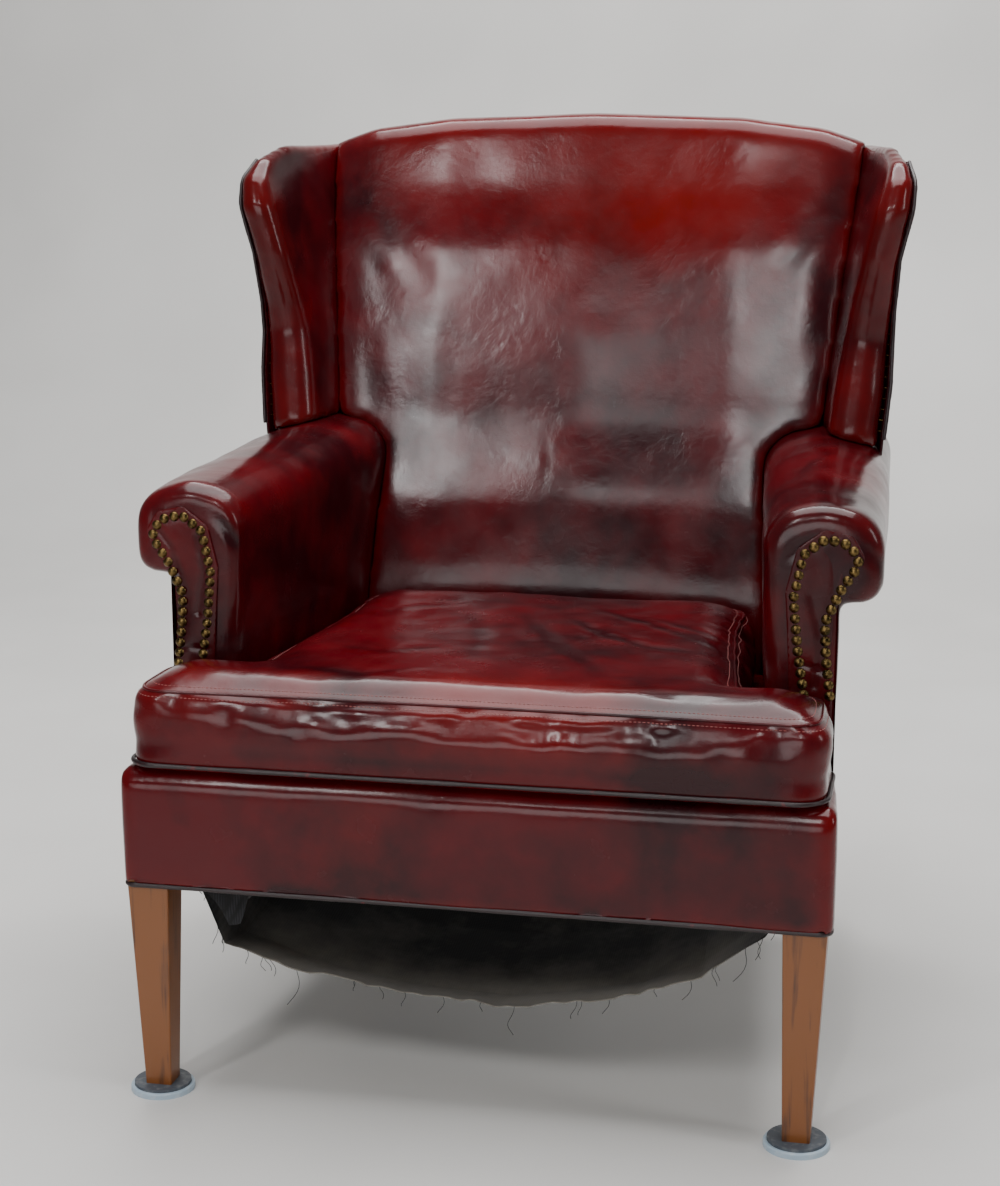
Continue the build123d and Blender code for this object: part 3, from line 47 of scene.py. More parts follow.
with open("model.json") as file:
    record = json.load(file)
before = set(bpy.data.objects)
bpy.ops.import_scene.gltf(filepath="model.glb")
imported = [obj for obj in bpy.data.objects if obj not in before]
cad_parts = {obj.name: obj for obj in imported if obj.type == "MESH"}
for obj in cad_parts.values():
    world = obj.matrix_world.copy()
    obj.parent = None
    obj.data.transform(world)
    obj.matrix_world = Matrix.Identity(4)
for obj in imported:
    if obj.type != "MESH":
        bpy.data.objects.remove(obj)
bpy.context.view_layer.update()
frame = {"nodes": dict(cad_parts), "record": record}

MM = 0.001

# CAD points nearer than this are one point
weld_gap = 0.01 * MM
# Spacing of the points in flat pieces and in what the leather hides
wing_panel_spacing = 9 * MM
outside_spacing = 11 * MM
facing_spacing = 3.5 * MM
hidden_cloth_spacing = 22 * MM
dust_cover_spacing = 9 * MM
deck_skin = 6 * MM
filling_skin = 9 * MM

# The cushion's pressure runs for this many frames
air_frames = 20

# The photograph's frame and the camera that stands where it was taken
photo_width = 1000
photo_height = 1186
camera_place = Vector((0.480, -2.5285, 1.039))
camera_turn = Euler((radians(90 - 12.01), 0, radians(11.82)))
camera_lens = 66.78
camera_sensor = 36


def box(node):
    """Lowest and highest corner of a CAD node."""
    low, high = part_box(node)
    return Vector(low), Vector(high)


def sight(pixel):
    """Direction in which the camera sees a point of the photograph."""
    focal = camera_lens / camera_sensor * photo_height
    across = (pixel[0] - photo_width / 2) / focal
    down = (pixel[1] - photo_height / 2) / focal
    way = Vector((across, -down, -1))
    way.rotate(camera_turn)
    return way.normalized()


def on_depth(pixel, depth):
    """Point where the sight line of a point of the photograph meets a depth."""
    way = sight(pixel)
    return camera_place + way * ((depth - camera_place.y) / way.y)


# Multipliers that turn the corner of a noise cell into a value that looks random
hash_ways = np.array([127.1, 311.7, 74.7])
hash_scale = 43758.5453
seed_step = 17.3


def drift(points, size, seed=0):
    """Smooth noise from -1 to 1 with bumps about size metres apart."""
    cell = points / size + seed_step * seed
    base = np.floor(cell)
    part = cell - base
    part = part * part * (3 - 2 * part)
    total = np.zeros(len(points))
    for corner in product((0, 1), repeat=3):
        hashed = np.sin((base + corner) @ hash_ways + seed) * hash_scale
        value = (hashed - np.floor(hashed)) * 2 - 1
        total += value * np.prod(np.where(corner, part, 1 - part), axis=1)
    return total


def ramp(values, low, high):
    """Rises smoothly from 0 at low to 1 at high."""
    share = np.clip((values - low) / (high - low), 0, 1)
    return share * share * (3 - 2 * share)


def bell(gap, width):
    """1 at no gap, falling to nothing beyond about two widths."""
    return np.exp(-((gap / width) ** 2))


def mesh_points(mesh, kind="co"):
    """Places or normals of a mesh's points."""
    flat = np.empty(len(mesh.vertices) * 3)
    mesh.vertices.foreach_get(kind, flat)
    return flat.reshape(-1, 3)


def placed(name, data):
    """A new object in the scene."""
    thing = bpy.data.objects.new(name, data)
    bpy.context.scene.collection.objects.link(thing)
    return thing


def dressed(name, mesh, material, body, sharp=None):
    """A named piece of a mesh, with its material and body."""
    mesh.name = name
    mesh.polygons.foreach_set("use_smooth", [True] * len(mesh.polygons))
    if sharp:
        mesh.set_sharp_from_angle(angle=sharp)
    mesh.materials.clear()
    mesh.materials.append(material)
    thing = placed(name, mesh)
    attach(thing, body)
    return thing


def merged_nodes(nodes):
    """A welded copy of CAD nodes."""
    joined = bmesh.new()
    for node in nodes:
        joined.from_mesh(frame["nodes"][node].data)
    bmesh.ops.remove_doubles(joined, verts=joined.verts, dist=weld_gap)
    return joined


def applied(holder):
    """The evaluated mesh of an object, which is then removed."""
    bpy.context.view_layer.update()
    graph = bpy.context.evaluated_depsgraph_get()
    mesh = bpy.data.meshes.new_from_object(holder.evaluated_get(graph))
    source = holder.data
    bpy.data.objects.remove(holder)
    bpy.data.meshes.remove(source)
    return mesh


def even_mesh(nodes, voxel):
    """A copy of CAD nodes with one even skin of small squares."""
    joined = merged_nodes(nodes)
    mesh = bpy.data.meshes.new("even")
    joined.to_mesh(mesh)
    joined.free()
    holder = placed("even", mesh)
    remesh = holder.modifiers.new("even", "REMESH")
    remesh.mode = "VOXEL"
    remesh.voxel_size = voxel
    return applied(holder)


def divided_mesh(nodes, longest):
    """A copy of thin CAD nodes whose long edges are split."""
    joined = merged_nodes(nodes)
    most_splits = 9
    for _ in range(most_splits):
        long_edges = [edge for edge in joined.edges if edge.calc_length() > longest]
        if not long_edges:
            break
        bmesh.ops.subdivide_edges(joined, edges=long_edges, cuts=1)
        wide_faces = [face for face in joined.faces if len(face.verts) > 3]
        bmesh.ops.triangulate(joined, faces=wide_faces)
    mesh = bpy.data.meshes.new("divided")
    joined.to_mesh(mesh)
    joined.free()
    return mesh


class Form:
    """A skin that is shaped point by point before it becomes a piece."""

    def __init__(self, mesh):
        self.mesh = mesh
        self.points = mesh_points(mesh)
        self.edges = np.empty(len(mesh.edges) * 2, dtype=int)
        mesh.edges.foreach_get("vertices", self.edges)
        self.edges = self.edges.reshape(-1, 2)
        self.wear_and_painted_light = np.zeros(len(self.points))
        self.painted_shade = np.zeros(len(self.points))

    def store(self):
        """Write the points back to the mesh."""
        self.mesh.vertices.foreach_set("co", self.points.ravel())
        self.mesh.update()

    def normals(self):
        """Outward direction at each point."""
        self.store()
        return mesh_points(self.mesh, "normal")

    def neighbour_mean(self, values):
        """Mean of each point's neighbours, column by column."""
        first, second = self.edges[:, 0], self.edges[:, 1]
        count = len(self.points)
        share = 1 / np.maximum(np.bincount(self.edges.ravel(), minlength=count), 1)
        columns = values.reshape(count, -1)
        means = [
            (
                np.bincount(first, columns[:, column][second], count)
                + np.bincount(second, columns[:, column][first], count)
            )
            * share
            for column in range(columns.shape[1])
        ]
        return np.stack(means, axis=1).reshape(values.shape)

    def relax(self, rounds, regain=0.0):
        """Ease the skin, and swell it back by what the easing took."""
        for _ in range(rounds):
            self.points += (self.neighbour_mean(self.points) - self.points) * 0.5
        if regain:
            self.points += self.normals() * regain

    def tree(self):
        """Search tree of the skin as it is now."""
        self.store()
        faces = [tuple(face.vertices) for face in self.mesh.polygons]
        return BVHTree.FromPolygons(self.points.tolist(), faces)

    def seen(self, pixels, tree):
        """Points of the skin behind points of the photograph, or nearest to their sight lines."""
        middle = Vector(self.points.mean(axis=0))
        found = []
        for pixel in pixels:
            way = sight(pixel)
            place = tree.ray_cast(camera_place, way)[0]
            if place is None:
                beside = camera_place + way * (middle - camera_place).dot(way)
                place = tree.find_nearest(beside)[0]
            found.append(place)
        return found

    def along(self, path):
        """Distance of each point to a path, and how far along the path it lies."""
        path = np.array([tuple(spot) for spot in path])
        lengths = np.linalg.norm(path[1:] - path[:-1], axis=1)
        starts = np.concatenate(([0], np.cumsum(lengths)))
        nearest = np.full(len(self.points), 1e9)
        share = np.zeros(len(self.points))
        for start, end, run, before in zip(path, path[1:], lengths, starts):
            way = (end - start) / run
            reach = np.clip((self.points - start) @ way, 0, run)
            gap = np.linalg.norm(self.points - start - reach[:, None] * way, axis=1)
            closer = gap < nearest
            nearest[closer] = gap[closer]
            share[closer] = (before + reach[closer]) / starts[-1]
        return nearest, share

    def crease(self, path, width, depth):
        """Press a soft valley with raised lips along a path."""
        gap, share = self.along(path)
        fade = np.sin(np.clip(share, 0.02, 0.98) * pi) ** 0.7
        valley = bell(gap, width)
        lips = bell(gap - 1.9 * width, width)
        self.points -= self.normals() * ((valley - 0.32 * lips) * depth * fade)[:, None]
        # Painted shade: the leather is darkened along the valley, where shade falls
        if depth > 0:
            self.painted_shade = np.maximum(self.painted_shade, valley * fade * min(depth / (3 * MM), 1))

    def brighten_worn_and_highlit(self, centre, radius, amount):
        """Brighten a round patch to its worn red: partly worn glaze, partly painted highlight."""
        gap = np.linalg.norm(self.points - np.array(tuple(centre)), axis=1)
        self.wear_and_painted_light += bell(gap, radius) * amount

    def work(self, creases, worn_and_highlit_patches=()):
        """Crease the skin, and brighten its worn patches with painted highlight, where the photograph shows
        it.
        """
        tree = self.tree()
        for pixels, width, depth in creases:
            self.crease(self.seen(pixels, tree), width * MM, depth * MM)
        for pixel, radius, amount in worn_and_highlit_patches:
            self.brighten_worn_and_highlit(self.seen([pixel], tree)[0], radius, amount)

    def ripple(self, size, depth, seed=0, mask=1.0, squash=(1, 1, 1)):
        """Raise and sink the skin by smooth noise."""
        waves = drift(self.points * np.array(squash), size, seed) * depth * mask
        self.points += self.normals() * waves[:, None]

    def settle(self):
        """Paint shade into what lies in a hollow, and turn what stands out to the worn red, partly worn
        glaze and partly painted highlight.
        """
        bend = self.neighbour_mean(self.points) - self.points
        hollow = np.einsum("ij,ij->i", bend, self.normals())
        for _ in range(3):
            hollow = self.neighbour_mean(hollow)
        # Painted shade darkens the hollows
        self.painted_shade = np.clip(self.painted_shade + np.clip(hollow / (0.25 * MM), 0, 1) * 0.7, 0, 1)
        # What stands out is brightened: partly worn glaze, partly painted highlight
        self.wear_and_painted_light = np.clip(self.wear_and_painted_light + np.clip(-hollow / (0.35 * MM), 0, 1) * 0.35, 0, 1)

    def piece(self, name, body, slot, material, replaced, sharp=None):
        """Turn the skin into a named piece that stands for CAD nodes."""
        if sharp is None:
            self.settle()
        self.store()
        for label, values in (("wear_and_painted_light", self.wear_and_painted_light), ("painted_shade", self.painted_shade)):
            field = self.mesh.attributes.new(label, "FLOAT", "POINT")
            field.data.foreach_set("value", values.astype(np.float32))
        thing = dressed(name, self.mesh, material, body, sharp)
        if replaced:
            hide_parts(*replaced)
        return thing


def soft_form(nodes, voxel, rounds, regain=0.0):
    """An eased skin round CAD nodes."""
    form = Form(even_mesh(nodes, voxel))
    form.mesh.name = nodes[0]
    form.relax(rounds, regain)
    return form


def linear(hexed):
    """An sRGB hex colour as linear red, green and blue."""
    channels = [int(hexed[start : start + 2], 16) / 255 for start in (1, 3, 5)]
    return [c / 12.92 if c <= 0.04045 else ((c + 0.055) / 1.055) ** 2.4 for c in channels]


def colour_setting(name, hexed, description):
    """A colour that a user can change."""
    return FloatVectorProperty(
        name=name, description=description, default=linear(hexed), subtype="COLOR", size=3, min=0, max=1
    )


def length_setting(name, millimetres, description):
    """A length that a user can change."""
    return FloatProperty(
        name=name, description=description, default=millimetres * MM, unit="LENGTH", min=0, precision=4
    )


class ArmchairSizes(bpy.types.PropertyGroup):
    """Sizes of the upholstery's detail."""

    skin: length_setting("Skin spacing", 5, "Spacing of the points in the padded leather")
    fine_skin: length_setting("Fine skin spacing", 4.6, "Spacing of the points in the cushion and arms")
    welt_skin: length_setting("Welt spacing", 1.2, "Spacing of the points round a welt")
    puff: length_setting("Cushion swell", 5, "Most that pressure may swell the cushion")
    pucker: length_setting("Boxing pucker", 3.2, "Depth of the puckers under the cushion's top seam")
    stitch_pitch: length_setting("Stitch pitch", 4.6, "Distance from one stitch to the next")
    stitch_length: length_setting("Stitch length", 3.4, "Length of a stitch that shows")
    thread_radius: length_setting("Thread radius", 0.5, "Radius of the sewing thread")
    loose_thread_radius: length_setting("Loose thread radius", 0.35, "Radius of a frayed thread")
    cloth_thickness: length_setting("Flap thickness", 0.6, "Thickness of the dust cover's torn flap")
    seam_radius: length_setting("Seam radius", 1.9, "Radius of the folded seam on the cushion")
    loose_threads: IntProperty(
        name="Loose threads", description="Threads that hang from the torn edge", default=26, min=0
    )


class ArmchairColours(bpy.types.PropertyGroup):
    """Colours of the armchair's finishes."""

    leather_deep: colour_setting("Deep leather", "#2a0308", "Leather in its darkest clouds")
    leather_body: colour_setting("Body leather", "#52040c", "Leather over most of the chair")
    # This red is both worn glaze and painted highlight on the patches that the mesh marks
    leather_worn_and_highlit: colour_setting("Worn leather", "#700a07", "Leather where its dark glaze is rubbed")
    welt: colour_setting("Welt", "#1c0508", "Dark rubbed cord of the welts")
    stitch: colour_setting("Stitches", "#9c4c46", "Sewing thread of the top seam")
    wood_light: colour_setting("Light wood", "#7e4715", "Stained wood between its grain")
    wood_dark: colour_setting("Dark wood", "#4a260b", "Stained wood in its grain")
    beech: colour_setting("Bare beech", "#c8a478", "Sawn frame wood")
    brass: colour_setting("Brass", "#725d38", "Brass where its dark wash is rubbed")
    brass_wash: colour_setting("Brass wash", "#2e2716", "Dark wash on the brass")
    cambric: colour_setting("Cambric", "#222226", "Black dust cloth")
    # This colour is both dust on the cloth and the painted light along the dust cover's front edge
    lint_and_painted_light: colour_setting("Lint", "#8c877e", "Dust on the dust cloth")
    slider_base: colour_setting("Slider base", "#a9bccb", "Pale moulded slider base")
    slider_pad: colour_setting("Slider pad", "#4a5058", "Dark slider pad")
    floor: colour_setting("Floor", "#dad8d5", "Pale studio floor")


def add(tree, kind, values=None, links=None, **settings):
    """Add a node with its settings, input values and links."""
    node = tree.nodes.new(kind)
    for name, value in settings.items():
        setattr(node, name, value)
    for socket, value in (values or {}).items():
        node.inputs[socket].default_value = value
    for socket, source in (links or {}).items():
        tree.links.new(source, node.inputs[socket])
    return node


def new_material(name, **constants):
    """A material with one Principled shader, and its constants set on it."""
    material = bpy.data.materials.new(name)
    material.use_nodes = True
    tree = material.node_tree
    shader = tree.nodes["Principled BSDF"]
    for socket, value in constants.items():
        shader.inputs[socket.replace("_", " ")].default_value = value
    place = add(tree, "ShaderNodeTexCoord").outputs["Object"]
    return material, tree, shader, place


def opaque(colour):
    """A colour with full alpha."""
    return (*colour, 1.0)


def darker(colour, share):
    """A share of a colour's light."""
    return [channel * share for channel in colour]


def colour_ramp(tree, factor, stops):
    """A ramp of colours over a factor."""
    node = add(tree, "ShaderNodeValToRGB", links={"Fac": factor})
    elements = node.color_ramp.elements
    while len(elements) < len(stops):
        elements.new(0.5)
    for element, (place, colour) in zip(elements, stops):
        element.position = place
        element.color = opaque(colour)
    return node.outputs["Color"]


def sum_of(tree, first, second, share):
    """first plus a share of second."""
    return add(
        tree, "ShaderNodeMath", {2: 0.0, 1: share}, {0: second, 2: first}, operation="MULTIPLY_ADD"
    ).outputs[0]


def noise(tree, place, scale, detail, **more):
    """Smooth noise over a place."""
    values = {"Scale": scale, "Detail": detail, **more}
    return add(tree, "ShaderNodeTexNoise", values, {"Vector": place}).outputs["Fac"]


def cells(tree, place, scale):
    """Distance from the middles of small cells, as in the grain of a hide."""
    return add(tree, "ShaderNodeTexVoronoi", {"Scale": scale}, {"Vector": place}).outputs["Distance"]


def stretched(tree, place, scale):
    """A place that is stretched along the grain."""
    return add(tree, "ShaderNodeMapping", {"Scale": scale}, {"Vector": place}).outputs["Vector"]


def painted(tree, name):
    """What the mesh says at each point."""
    return add(tree, "ShaderNodeAttribute", attribute_name=name).outputs["Fac"]


def spread(tree, value, given, wanted):
    """A value taken from one span to another."""
    values = dict(zip(("From Min", "From Max", "To Min", "To Max"), (*given, *wanted)))
    return add(tree, "ShaderNodeMapRange", values, {"Value": value}).outputs["Result"]


def covered(tree, amount, ground, colour):
    """A ground that a colour covers by an amount."""
    links = {0: amount, 6: ground}
    return add(tree, "ShaderNodeMix", {7: opaque(colour)}, links, data_type="RGBA").outputs[2]


def raised(tree, height, strength, distance, under=None):
    """A surface raised by a height, over another such surface where there is one."""
    links = {"Height": height} if under is None else {"Height": height, "Normal": under}
    return add(tree, "ShaderNodeBump", {"Strength": strength, "Distance": distance}, links).outputs["Normal"]


def dress(tree, shader, **sources):
    """Link what was made to the shader."""
    for socket, source in sources.items():
        tree.links.new(source, shader.inputs[socket.replace("_", " ")])


def oxblood_leather(name, colours, gloss=0.20, depth=1.0):
    """Glazed hide: a dark antique wash over red, polished by use, with fine grain and creases."""
    material, tree, shader, place = new_material(
        name, Coat_Weight=0.2, Coat_Roughness=0.14, Specular_IOR_Level=0.22
    )
    # Clouds of the antique wash are about 240 mm and 60 mm across
    clouds = noise(tree, place, 4.2, 4.0, Roughness=0.5)
    mottle = noise(tree, place, 17.0, 6.0, Roughness=0.6)
    tone = sum_of(tree, clouds, mottle, 0.4)
    # Painted shade from the mesh darkens the leather in creases and hollows
    tone = sum_of(tree, tone, painted(tree, "painted_shade"), -0.35)
    ground = colour_ramp(tree, tone, [(0.56, colours.leather_deep), (0.84, colours.leather_body)])
    # The glaze is rubbed through where the mesh says so, in patches: partly worn glaze, partly painted
    # highlight
    patchy = sum_of(tree, painted(tree, "wear_and_painted_light"), mottle, 0.5)
    rubbed = spread(tree, patchy, (0.3, 1.2), (0.0, 0.9))
    # Rubbed patches dull or brighten the gloss, about 50 mm across
    rough = spread(tree, noise(tree, place, 20.0, 5.0), (0.3, 0.7), (gloss - 0.05, gloss + 0.09))
    # Grain of about 1 mm is drawn at 2.2 mm so that it shows; creases are 9 mm apart, waves 60 mm
    grain = raised(tree, cells(tree, place, 450.0), 0.16 * depth, 0.25 * MM)
    crackle = noise(tree, place, 110.0, 5.0, Distortion=0.8)
    crackle = raised(tree, crackle, 0.22 * depth, 0.8 * MM, grain)
    waves = raised(tree, noise(tree, place, 16.0, 3.0), 0.35 * depth, 4 * MM, crackle)
    colour = covered(tree, rubbed, ground, colours.leather_worn_and_highlit)
    dress(tree, shader, Base_Color=colour, Roughness=rough, Normal=waves)
    return material


def welt_leather(name, colours):
    """Hide drawn over cord: nearly black with a dull shine, nicked to a paler red."""
    material, tree, shader, place = new_material(name, Coat_Weight=0.15, Coat_Roughness=0.3, Roughness=0.42)
    nicks = noise(tree, place, 95.0, 4.0)
    colour = colour_ramp(
        tree, nicks, [(0.0, colours.welt), (0.62, colours.welt), (0.72, colours.leather_body)]
    )
    dress(tree, shader, Base_Color=colour, Normal=raised(tree, cells(tree, place, 700.0), 0.3, 0.2 * MM))
    return material


def stained_wood(name, colours):
    """Mahogany-stained hardwood, hand planed and varnished: long grain that runs down the leg."""
    material, tree, shader, place = new_material(name, Coat_Weight=0.3, Coat_Roughness=0.2, Roughness=0.38)
    grain = stretched(tree, place, (1.0, 1.0, 0.055))
    rings = noise(tree, grain, 130.0, 6.0, Distortion=0.6)
    tone = sum_of(tree, rings, noise(tree, place, 14.0, 3.0), 0.35)
    colour = colour_ramp(
        tree, tone, [(0.45, colours.wood_dark), (0.62, colours.wood_light), (0.85, colours.wood_light)]
    )
    pores = raised(tree, noise(tree, grain, 900.0, 2.0), 0.25, 0.2 * MM)
    dress(tree, shader, Base_Color=colour, Normal=pores)
    return material


def sawn_beech(name, colours):
    """Bare beech, sawn and unfinished: pale, matt, with fine streaks."""
    material, tree, shader, place = new_material(name, Roughness=0.75)
    streaks = noise(tree, stretched(tree, place, (0.2, 1.0, 1.0)), 160.0, 4.0)
    colour = colour_ramp(tree, streaks, [(0.35, darker(colours.beech, 0.62)), (0.6, colours.beech)])
    dress(tree, shader, Base_Color=colour, Normal=raised(tree, streaks, 0.3, 0.3 * MM))
    return material


def antique_brass(name, colours):
    """Brass nail heads, pressed, with a dark wash that stays in the hollows."""
    material, tree, shader, place = new_material(name, Metallic=1.0)
    wash = noise(tree, place, 260.0, 4.0)
    tone = sum_of(tree, wash, noise(tree, place, 60.0, 2.0), 0.5)
    colour = colour_ramp(tree, tone, [(0.5, colours.brass_wash), (0.82, colours.brass)])
    rough = spread(tree, wash, (0.3, 0.7), (0.24, 0.46))
    pitted = raised(tree, wash, 0.15, 0.2 * MM)
    dress(tree, shader, Base_Color=colour, Roughness=rough, Normal=pitted)
    return material


def drawn_steel(name):
    """Spring and screw steel: grey wire with a dull drawn shine."""
    material, tree, shader, place = new_material(name, Metallic=1.0)
    shader.inputs["Base Color"].default_value = opaque(linear("#8f9092"))
    lines = noise(tree, place, 300.0, 2.0)
    dress(tree, shader, Roughness=spread(tree, lines, (0.3, 0.7), (0.3, 0.5)))
    return material


def woven_cloth(name, thread, shade, spacing, matt=0.9, dust=None):
    """Plain woven cloth: crossing threads at a real spacing, with dust in broad clouds and, where the mesh
    says so, painted light in the dust colour.
    """
    material, tree, shader, place = new_material(name, Roughness=matt, Sheen_Weight=0.15)
    band_turn = 6.28
    values = {"Scale": 1 / (spacing * band_turn), "Distortion": 0.6, "Detail": 1.0}
    warp, weft = (
        add(tree, "ShaderNodeTexWave", values, {"Vector": place}, bands_direction=axis).outputs["Fac"]
        for axis in ("X", "Y")
    )
    weave = add(tree, "ShaderNodeMath", links={0: warp, 1: weft}, operation="MULTIPLY").outputs[0]
    colour = colour_ramp(tree, weave, [(0.0, shade), (0.7, thread)])
    if dust is not None:
        # Dust lies in clouds about 110 mm across; where the mesh says so, the same colour is laid on as a
        # painted band of light
        clouds = noise(tree, place, 9.0, 6.0, Roughness=0.7)
        dust_and_lit_band = sum_of(tree, clouds, painted(tree, "wear_and_painted_light"), 0.7)
        colour = covered(tree, spread(tree, dust_and_lit_band, (0.5, 1.15), (0.0, 0.8)), colour, dust)
    dress(tree, shader, Base_Color=colour, Normal=raised(tree, weave, 0.4, 0.4 * MM))
    return material


def moulded(name, colour, matt, dust):
    """Moulded plastic or rubber: even colour, fine orange peel and a film of floor dust."""
    material, tree, shader, place = new_material(name, Roughness=matt)
    film = noise(tree, place, 120.0, 5.0)
    tinted = colour_ramp(tree, film, [(0.5, colour), (0.95, dust)])
    dress(tree, shader, Base_Color=tinted, Normal=raised(tree, film, 0.1, 0.2 * MM))
    return material


def waxed_thread(name, colours):
    """Twisted sewing thread, waxed: a soft shine on a paler red."""
    material, tree, shader, place = new_material(name, Roughness=0.6, Sheen_Weight=0.2)
    twist = noise(tree, place, 420.0, 3.0)
    colour = colour_ramp(tree, twist, [(0.35, darker(colours.stitch, 0.4)), (0.65, colours.stitch)])
    dress(tree, shader, Base_Color=colour)
    return material


materials = {}


def finish(name):
    """A material of this chair, made once."""
    colours = bpy.context.scene.armchair_colours
    makers = {
        "leather": lambda: oxblood_leather("oxblood_leather", colours),
        "flat_leather": lambda: oxblood_leather("flat_oxblood_leather", colours, gloss=0.22, depth=0.7),
        "welt": lambda: welt_leather("welt_leather", colours),
        "stained_wood": lambda: stained_wood("stained_hardwood", colours),
        "beech": lambda: sawn_beech("sawn_beech", colours),
        "brass": lambda: antique_brass("antique_brass", colours),
        "steel": lambda: drawn_steel("drawn_steel"),
        "hessian": lambda: woven_cloth("jute_hessian", linear("#a88a5e"), linear("#4c3a22"), 2.2 * MM),
        "webbing": lambda: woven_cloth("woven_webbing", linear("#6e6c64"), linear("#2c2b28"), 1.6 * MM),
        "wadding": lambda: woven_cloth("cotton_wadding", linear("#e2dccb"), linear("#b9b19c"), 3.0 * MM),
        "cambric": lambda: woven_cloth(
            "black_cambric", colours.cambric, linear("#060607"), 1.4 * MM, 0.95, colours.lint_and_painted_light
        ),
        "slider_base": lambda: moulded("slider_plastic", colours.slider_base, 0.4, linear("#cdd3d6")),
        "slider_pad": lambda: moulded("slider_rubber", colours.slider_pad, 0.55, linear("#8a8c8c")),
        "stitch": lambda: waxed_thread("waxed_thread", colours),
    }
    if name not in materials:
        materials[name] = makers[name]()
    return materials[name]


def line_tree(name, lengths):
    """A Geometry Nodes group with named lengths, and the lines of its mesh as curves."""
    tree = bpy.data.node_groups.new(name, "GeometryNodeTree")
    kinds = {"Geometry": "Geometry", **{label: "Float" for label in lengths}, "Material": "Material"}
    for label, kind in kinds.items():
        tree.interface.new_socket(label, in_out="INPUT", socket_type=f"NodeSocket{kind}")
    tree.interface.new_socket("Geometry", in_out="OUTPUT", socket_type="NodeSocketGeometry")
    given = add(tree, "NodeGroupInput").outputs
    line = add(tree, "GeometryNodeMeshToCurve", links={"Mesh": given["Geometry"]})
    return tree, given, line.outputs["Curve"]


def coated(tree, given, shape):
    """Ends a group: its shape is made real and takes the material."""
    real = add(tree, "GeometryNodeRealizeInstances", links={"Geometry": shape})
    links = {"Geometry": real.outputs["Geometry"], "Material": given["Material"]}
    coat = add(tree, "GeometryNodeSetMaterial", links=links)
    add(tree, "NodeGroupOutput", links={"Geometry": coat.outputs["Geometry"]})
    return tree


def stitch_tree():
    """Lays one capsule of thread after another along a seam."""
    tree, given, line = line_tree("stitch_row", ("Pitch", "Length", "Radius"))
    links = {"Curve": line, "Length": given["Pitch"]}
    spaced = add(tree, "GeometryNodeResampleCurve", links=links, mode="LENGTH")
    bead = add(tree, "GeometryNodeMeshUVSphere", {"Segments": 6, "Rings": 5, "Radius": 0.5})
    links = {"X": given["Length"], "Y": given["Radius"], "Z": given["Radius"]}
    size = add(tree, "ShaderNodeCombineXYZ", links=links)
    links = {"Geometry": bead.outputs["Mesh"], "Scale": size.outputs["Vector"]}
    drawn = add(tree, "GeometryNodeTransform", links=links)
    tangent = add(tree, "GeometryNodeInputTangent").outputs["Tangent"]
    turn = add(tree, "FunctionNodeAlignRotationToVector", links={"Vector": tangent}, axis="X")
    links = {
        "Points": spaced.outputs["Curve"],
        "Instance": drawn.outputs["Geometry"],
        "Rotation": turn.outputs["Rotation"],
    }
    laid = add(tree, "GeometryNodeInstanceOnPoints", links=links)
    return coated(tree, given, laid.outputs["Instances"])


def thread_tree():
    """Gives each line of a mesh the round section of a thread."""
    tree, given, line = line_tree("loose_thread", ("Radius",))
    ring = add(tree, "GeometryNodeCurvePrimitiveCircle", {"Resolution": 6}, {"Radius": given["Radius"]})
    links = {"Curve": line, "Profile Curve": ring.outputs["Curve"]}
    drawn = add(tree, "GeometryNodeCurveToMesh", {"Fill Caps": True}, links)
    return coated(tree, given, drawn.outputs["Mesh"])


def grown(name, rows, tree, lengths, material, body):
    """A piece that a node tree grows along rows of points; a row is (points, closed)."""
    points, edges = [], []
    for row, closed in rows:
        start = len(points)
        points += [tuple(spot) for spot in row]
        edges += [(start + step, start + step + 1) for step in range(len(row) - 1)]
        if closed:
            edges.append((len(points) - 1, start))
    mesh = bpy.data.meshes.new(name)
    mesh.from_pydata(points, edges, [])
    holder = placed(name, mesh)
    modifier = holder.modifiers.new(name, "NODES")
    modifier.node_group = tree
    values = {**lengths, "Material": material}
    for item in tree.interface.items_tree:
        if item.in_out == "INPUT" and item.name in values:
            modifier[item.identifier] = values[item.name]
    return dressed(name, applied(holder), material, body)


def level_ring(form, height, spacing):
    """The longest ring of a form at one height, evenly spaced."""
    form.store()
    cut = bmesh.new()
    cut.from_mesh(form.mesh)
    sliced = bmesh.ops.bisect_plane(
        cut, geom=cut.verts[:] + cut.edges[:] + cut.faces[:], plane_co=(0, 0, height), plane_no=(0, 0, 1)
    )
    lines = {item for item in sliced["geom_cut"] if isinstance(item, bmesh.types.BMEdge)}
    rings = []
    while lines:
        edge = lines.pop()
        ring = [edge.verts[0], edge.verts[1]]
        while True:
            following = [line for line in ring[-1].link_edges if line in lines]
            if not following:
                break
            lines.discard(following[0])
            ring.append(following[0].other_vert(ring[-1]))
        rings.append(np.array([tuple(vert.co) for vert in ring]))
    cut.free()
    ring = max(rings, key=lambda points: np.linalg.norm(points[1:] - points[:-1], axis=1).sum())
    runs = np.concatenate(([0], np.cumsum(np.linalg.norm(ring[1:] - ring[:-1], axis=1))))
    count = int(runs[-1] / spacing)
    even = np.linspace(0, runs[-1], count, endpoint=False)
    return np.stack([np.interp(even, runs, ring[:, axis]) for axis in range(3)], axis=1)


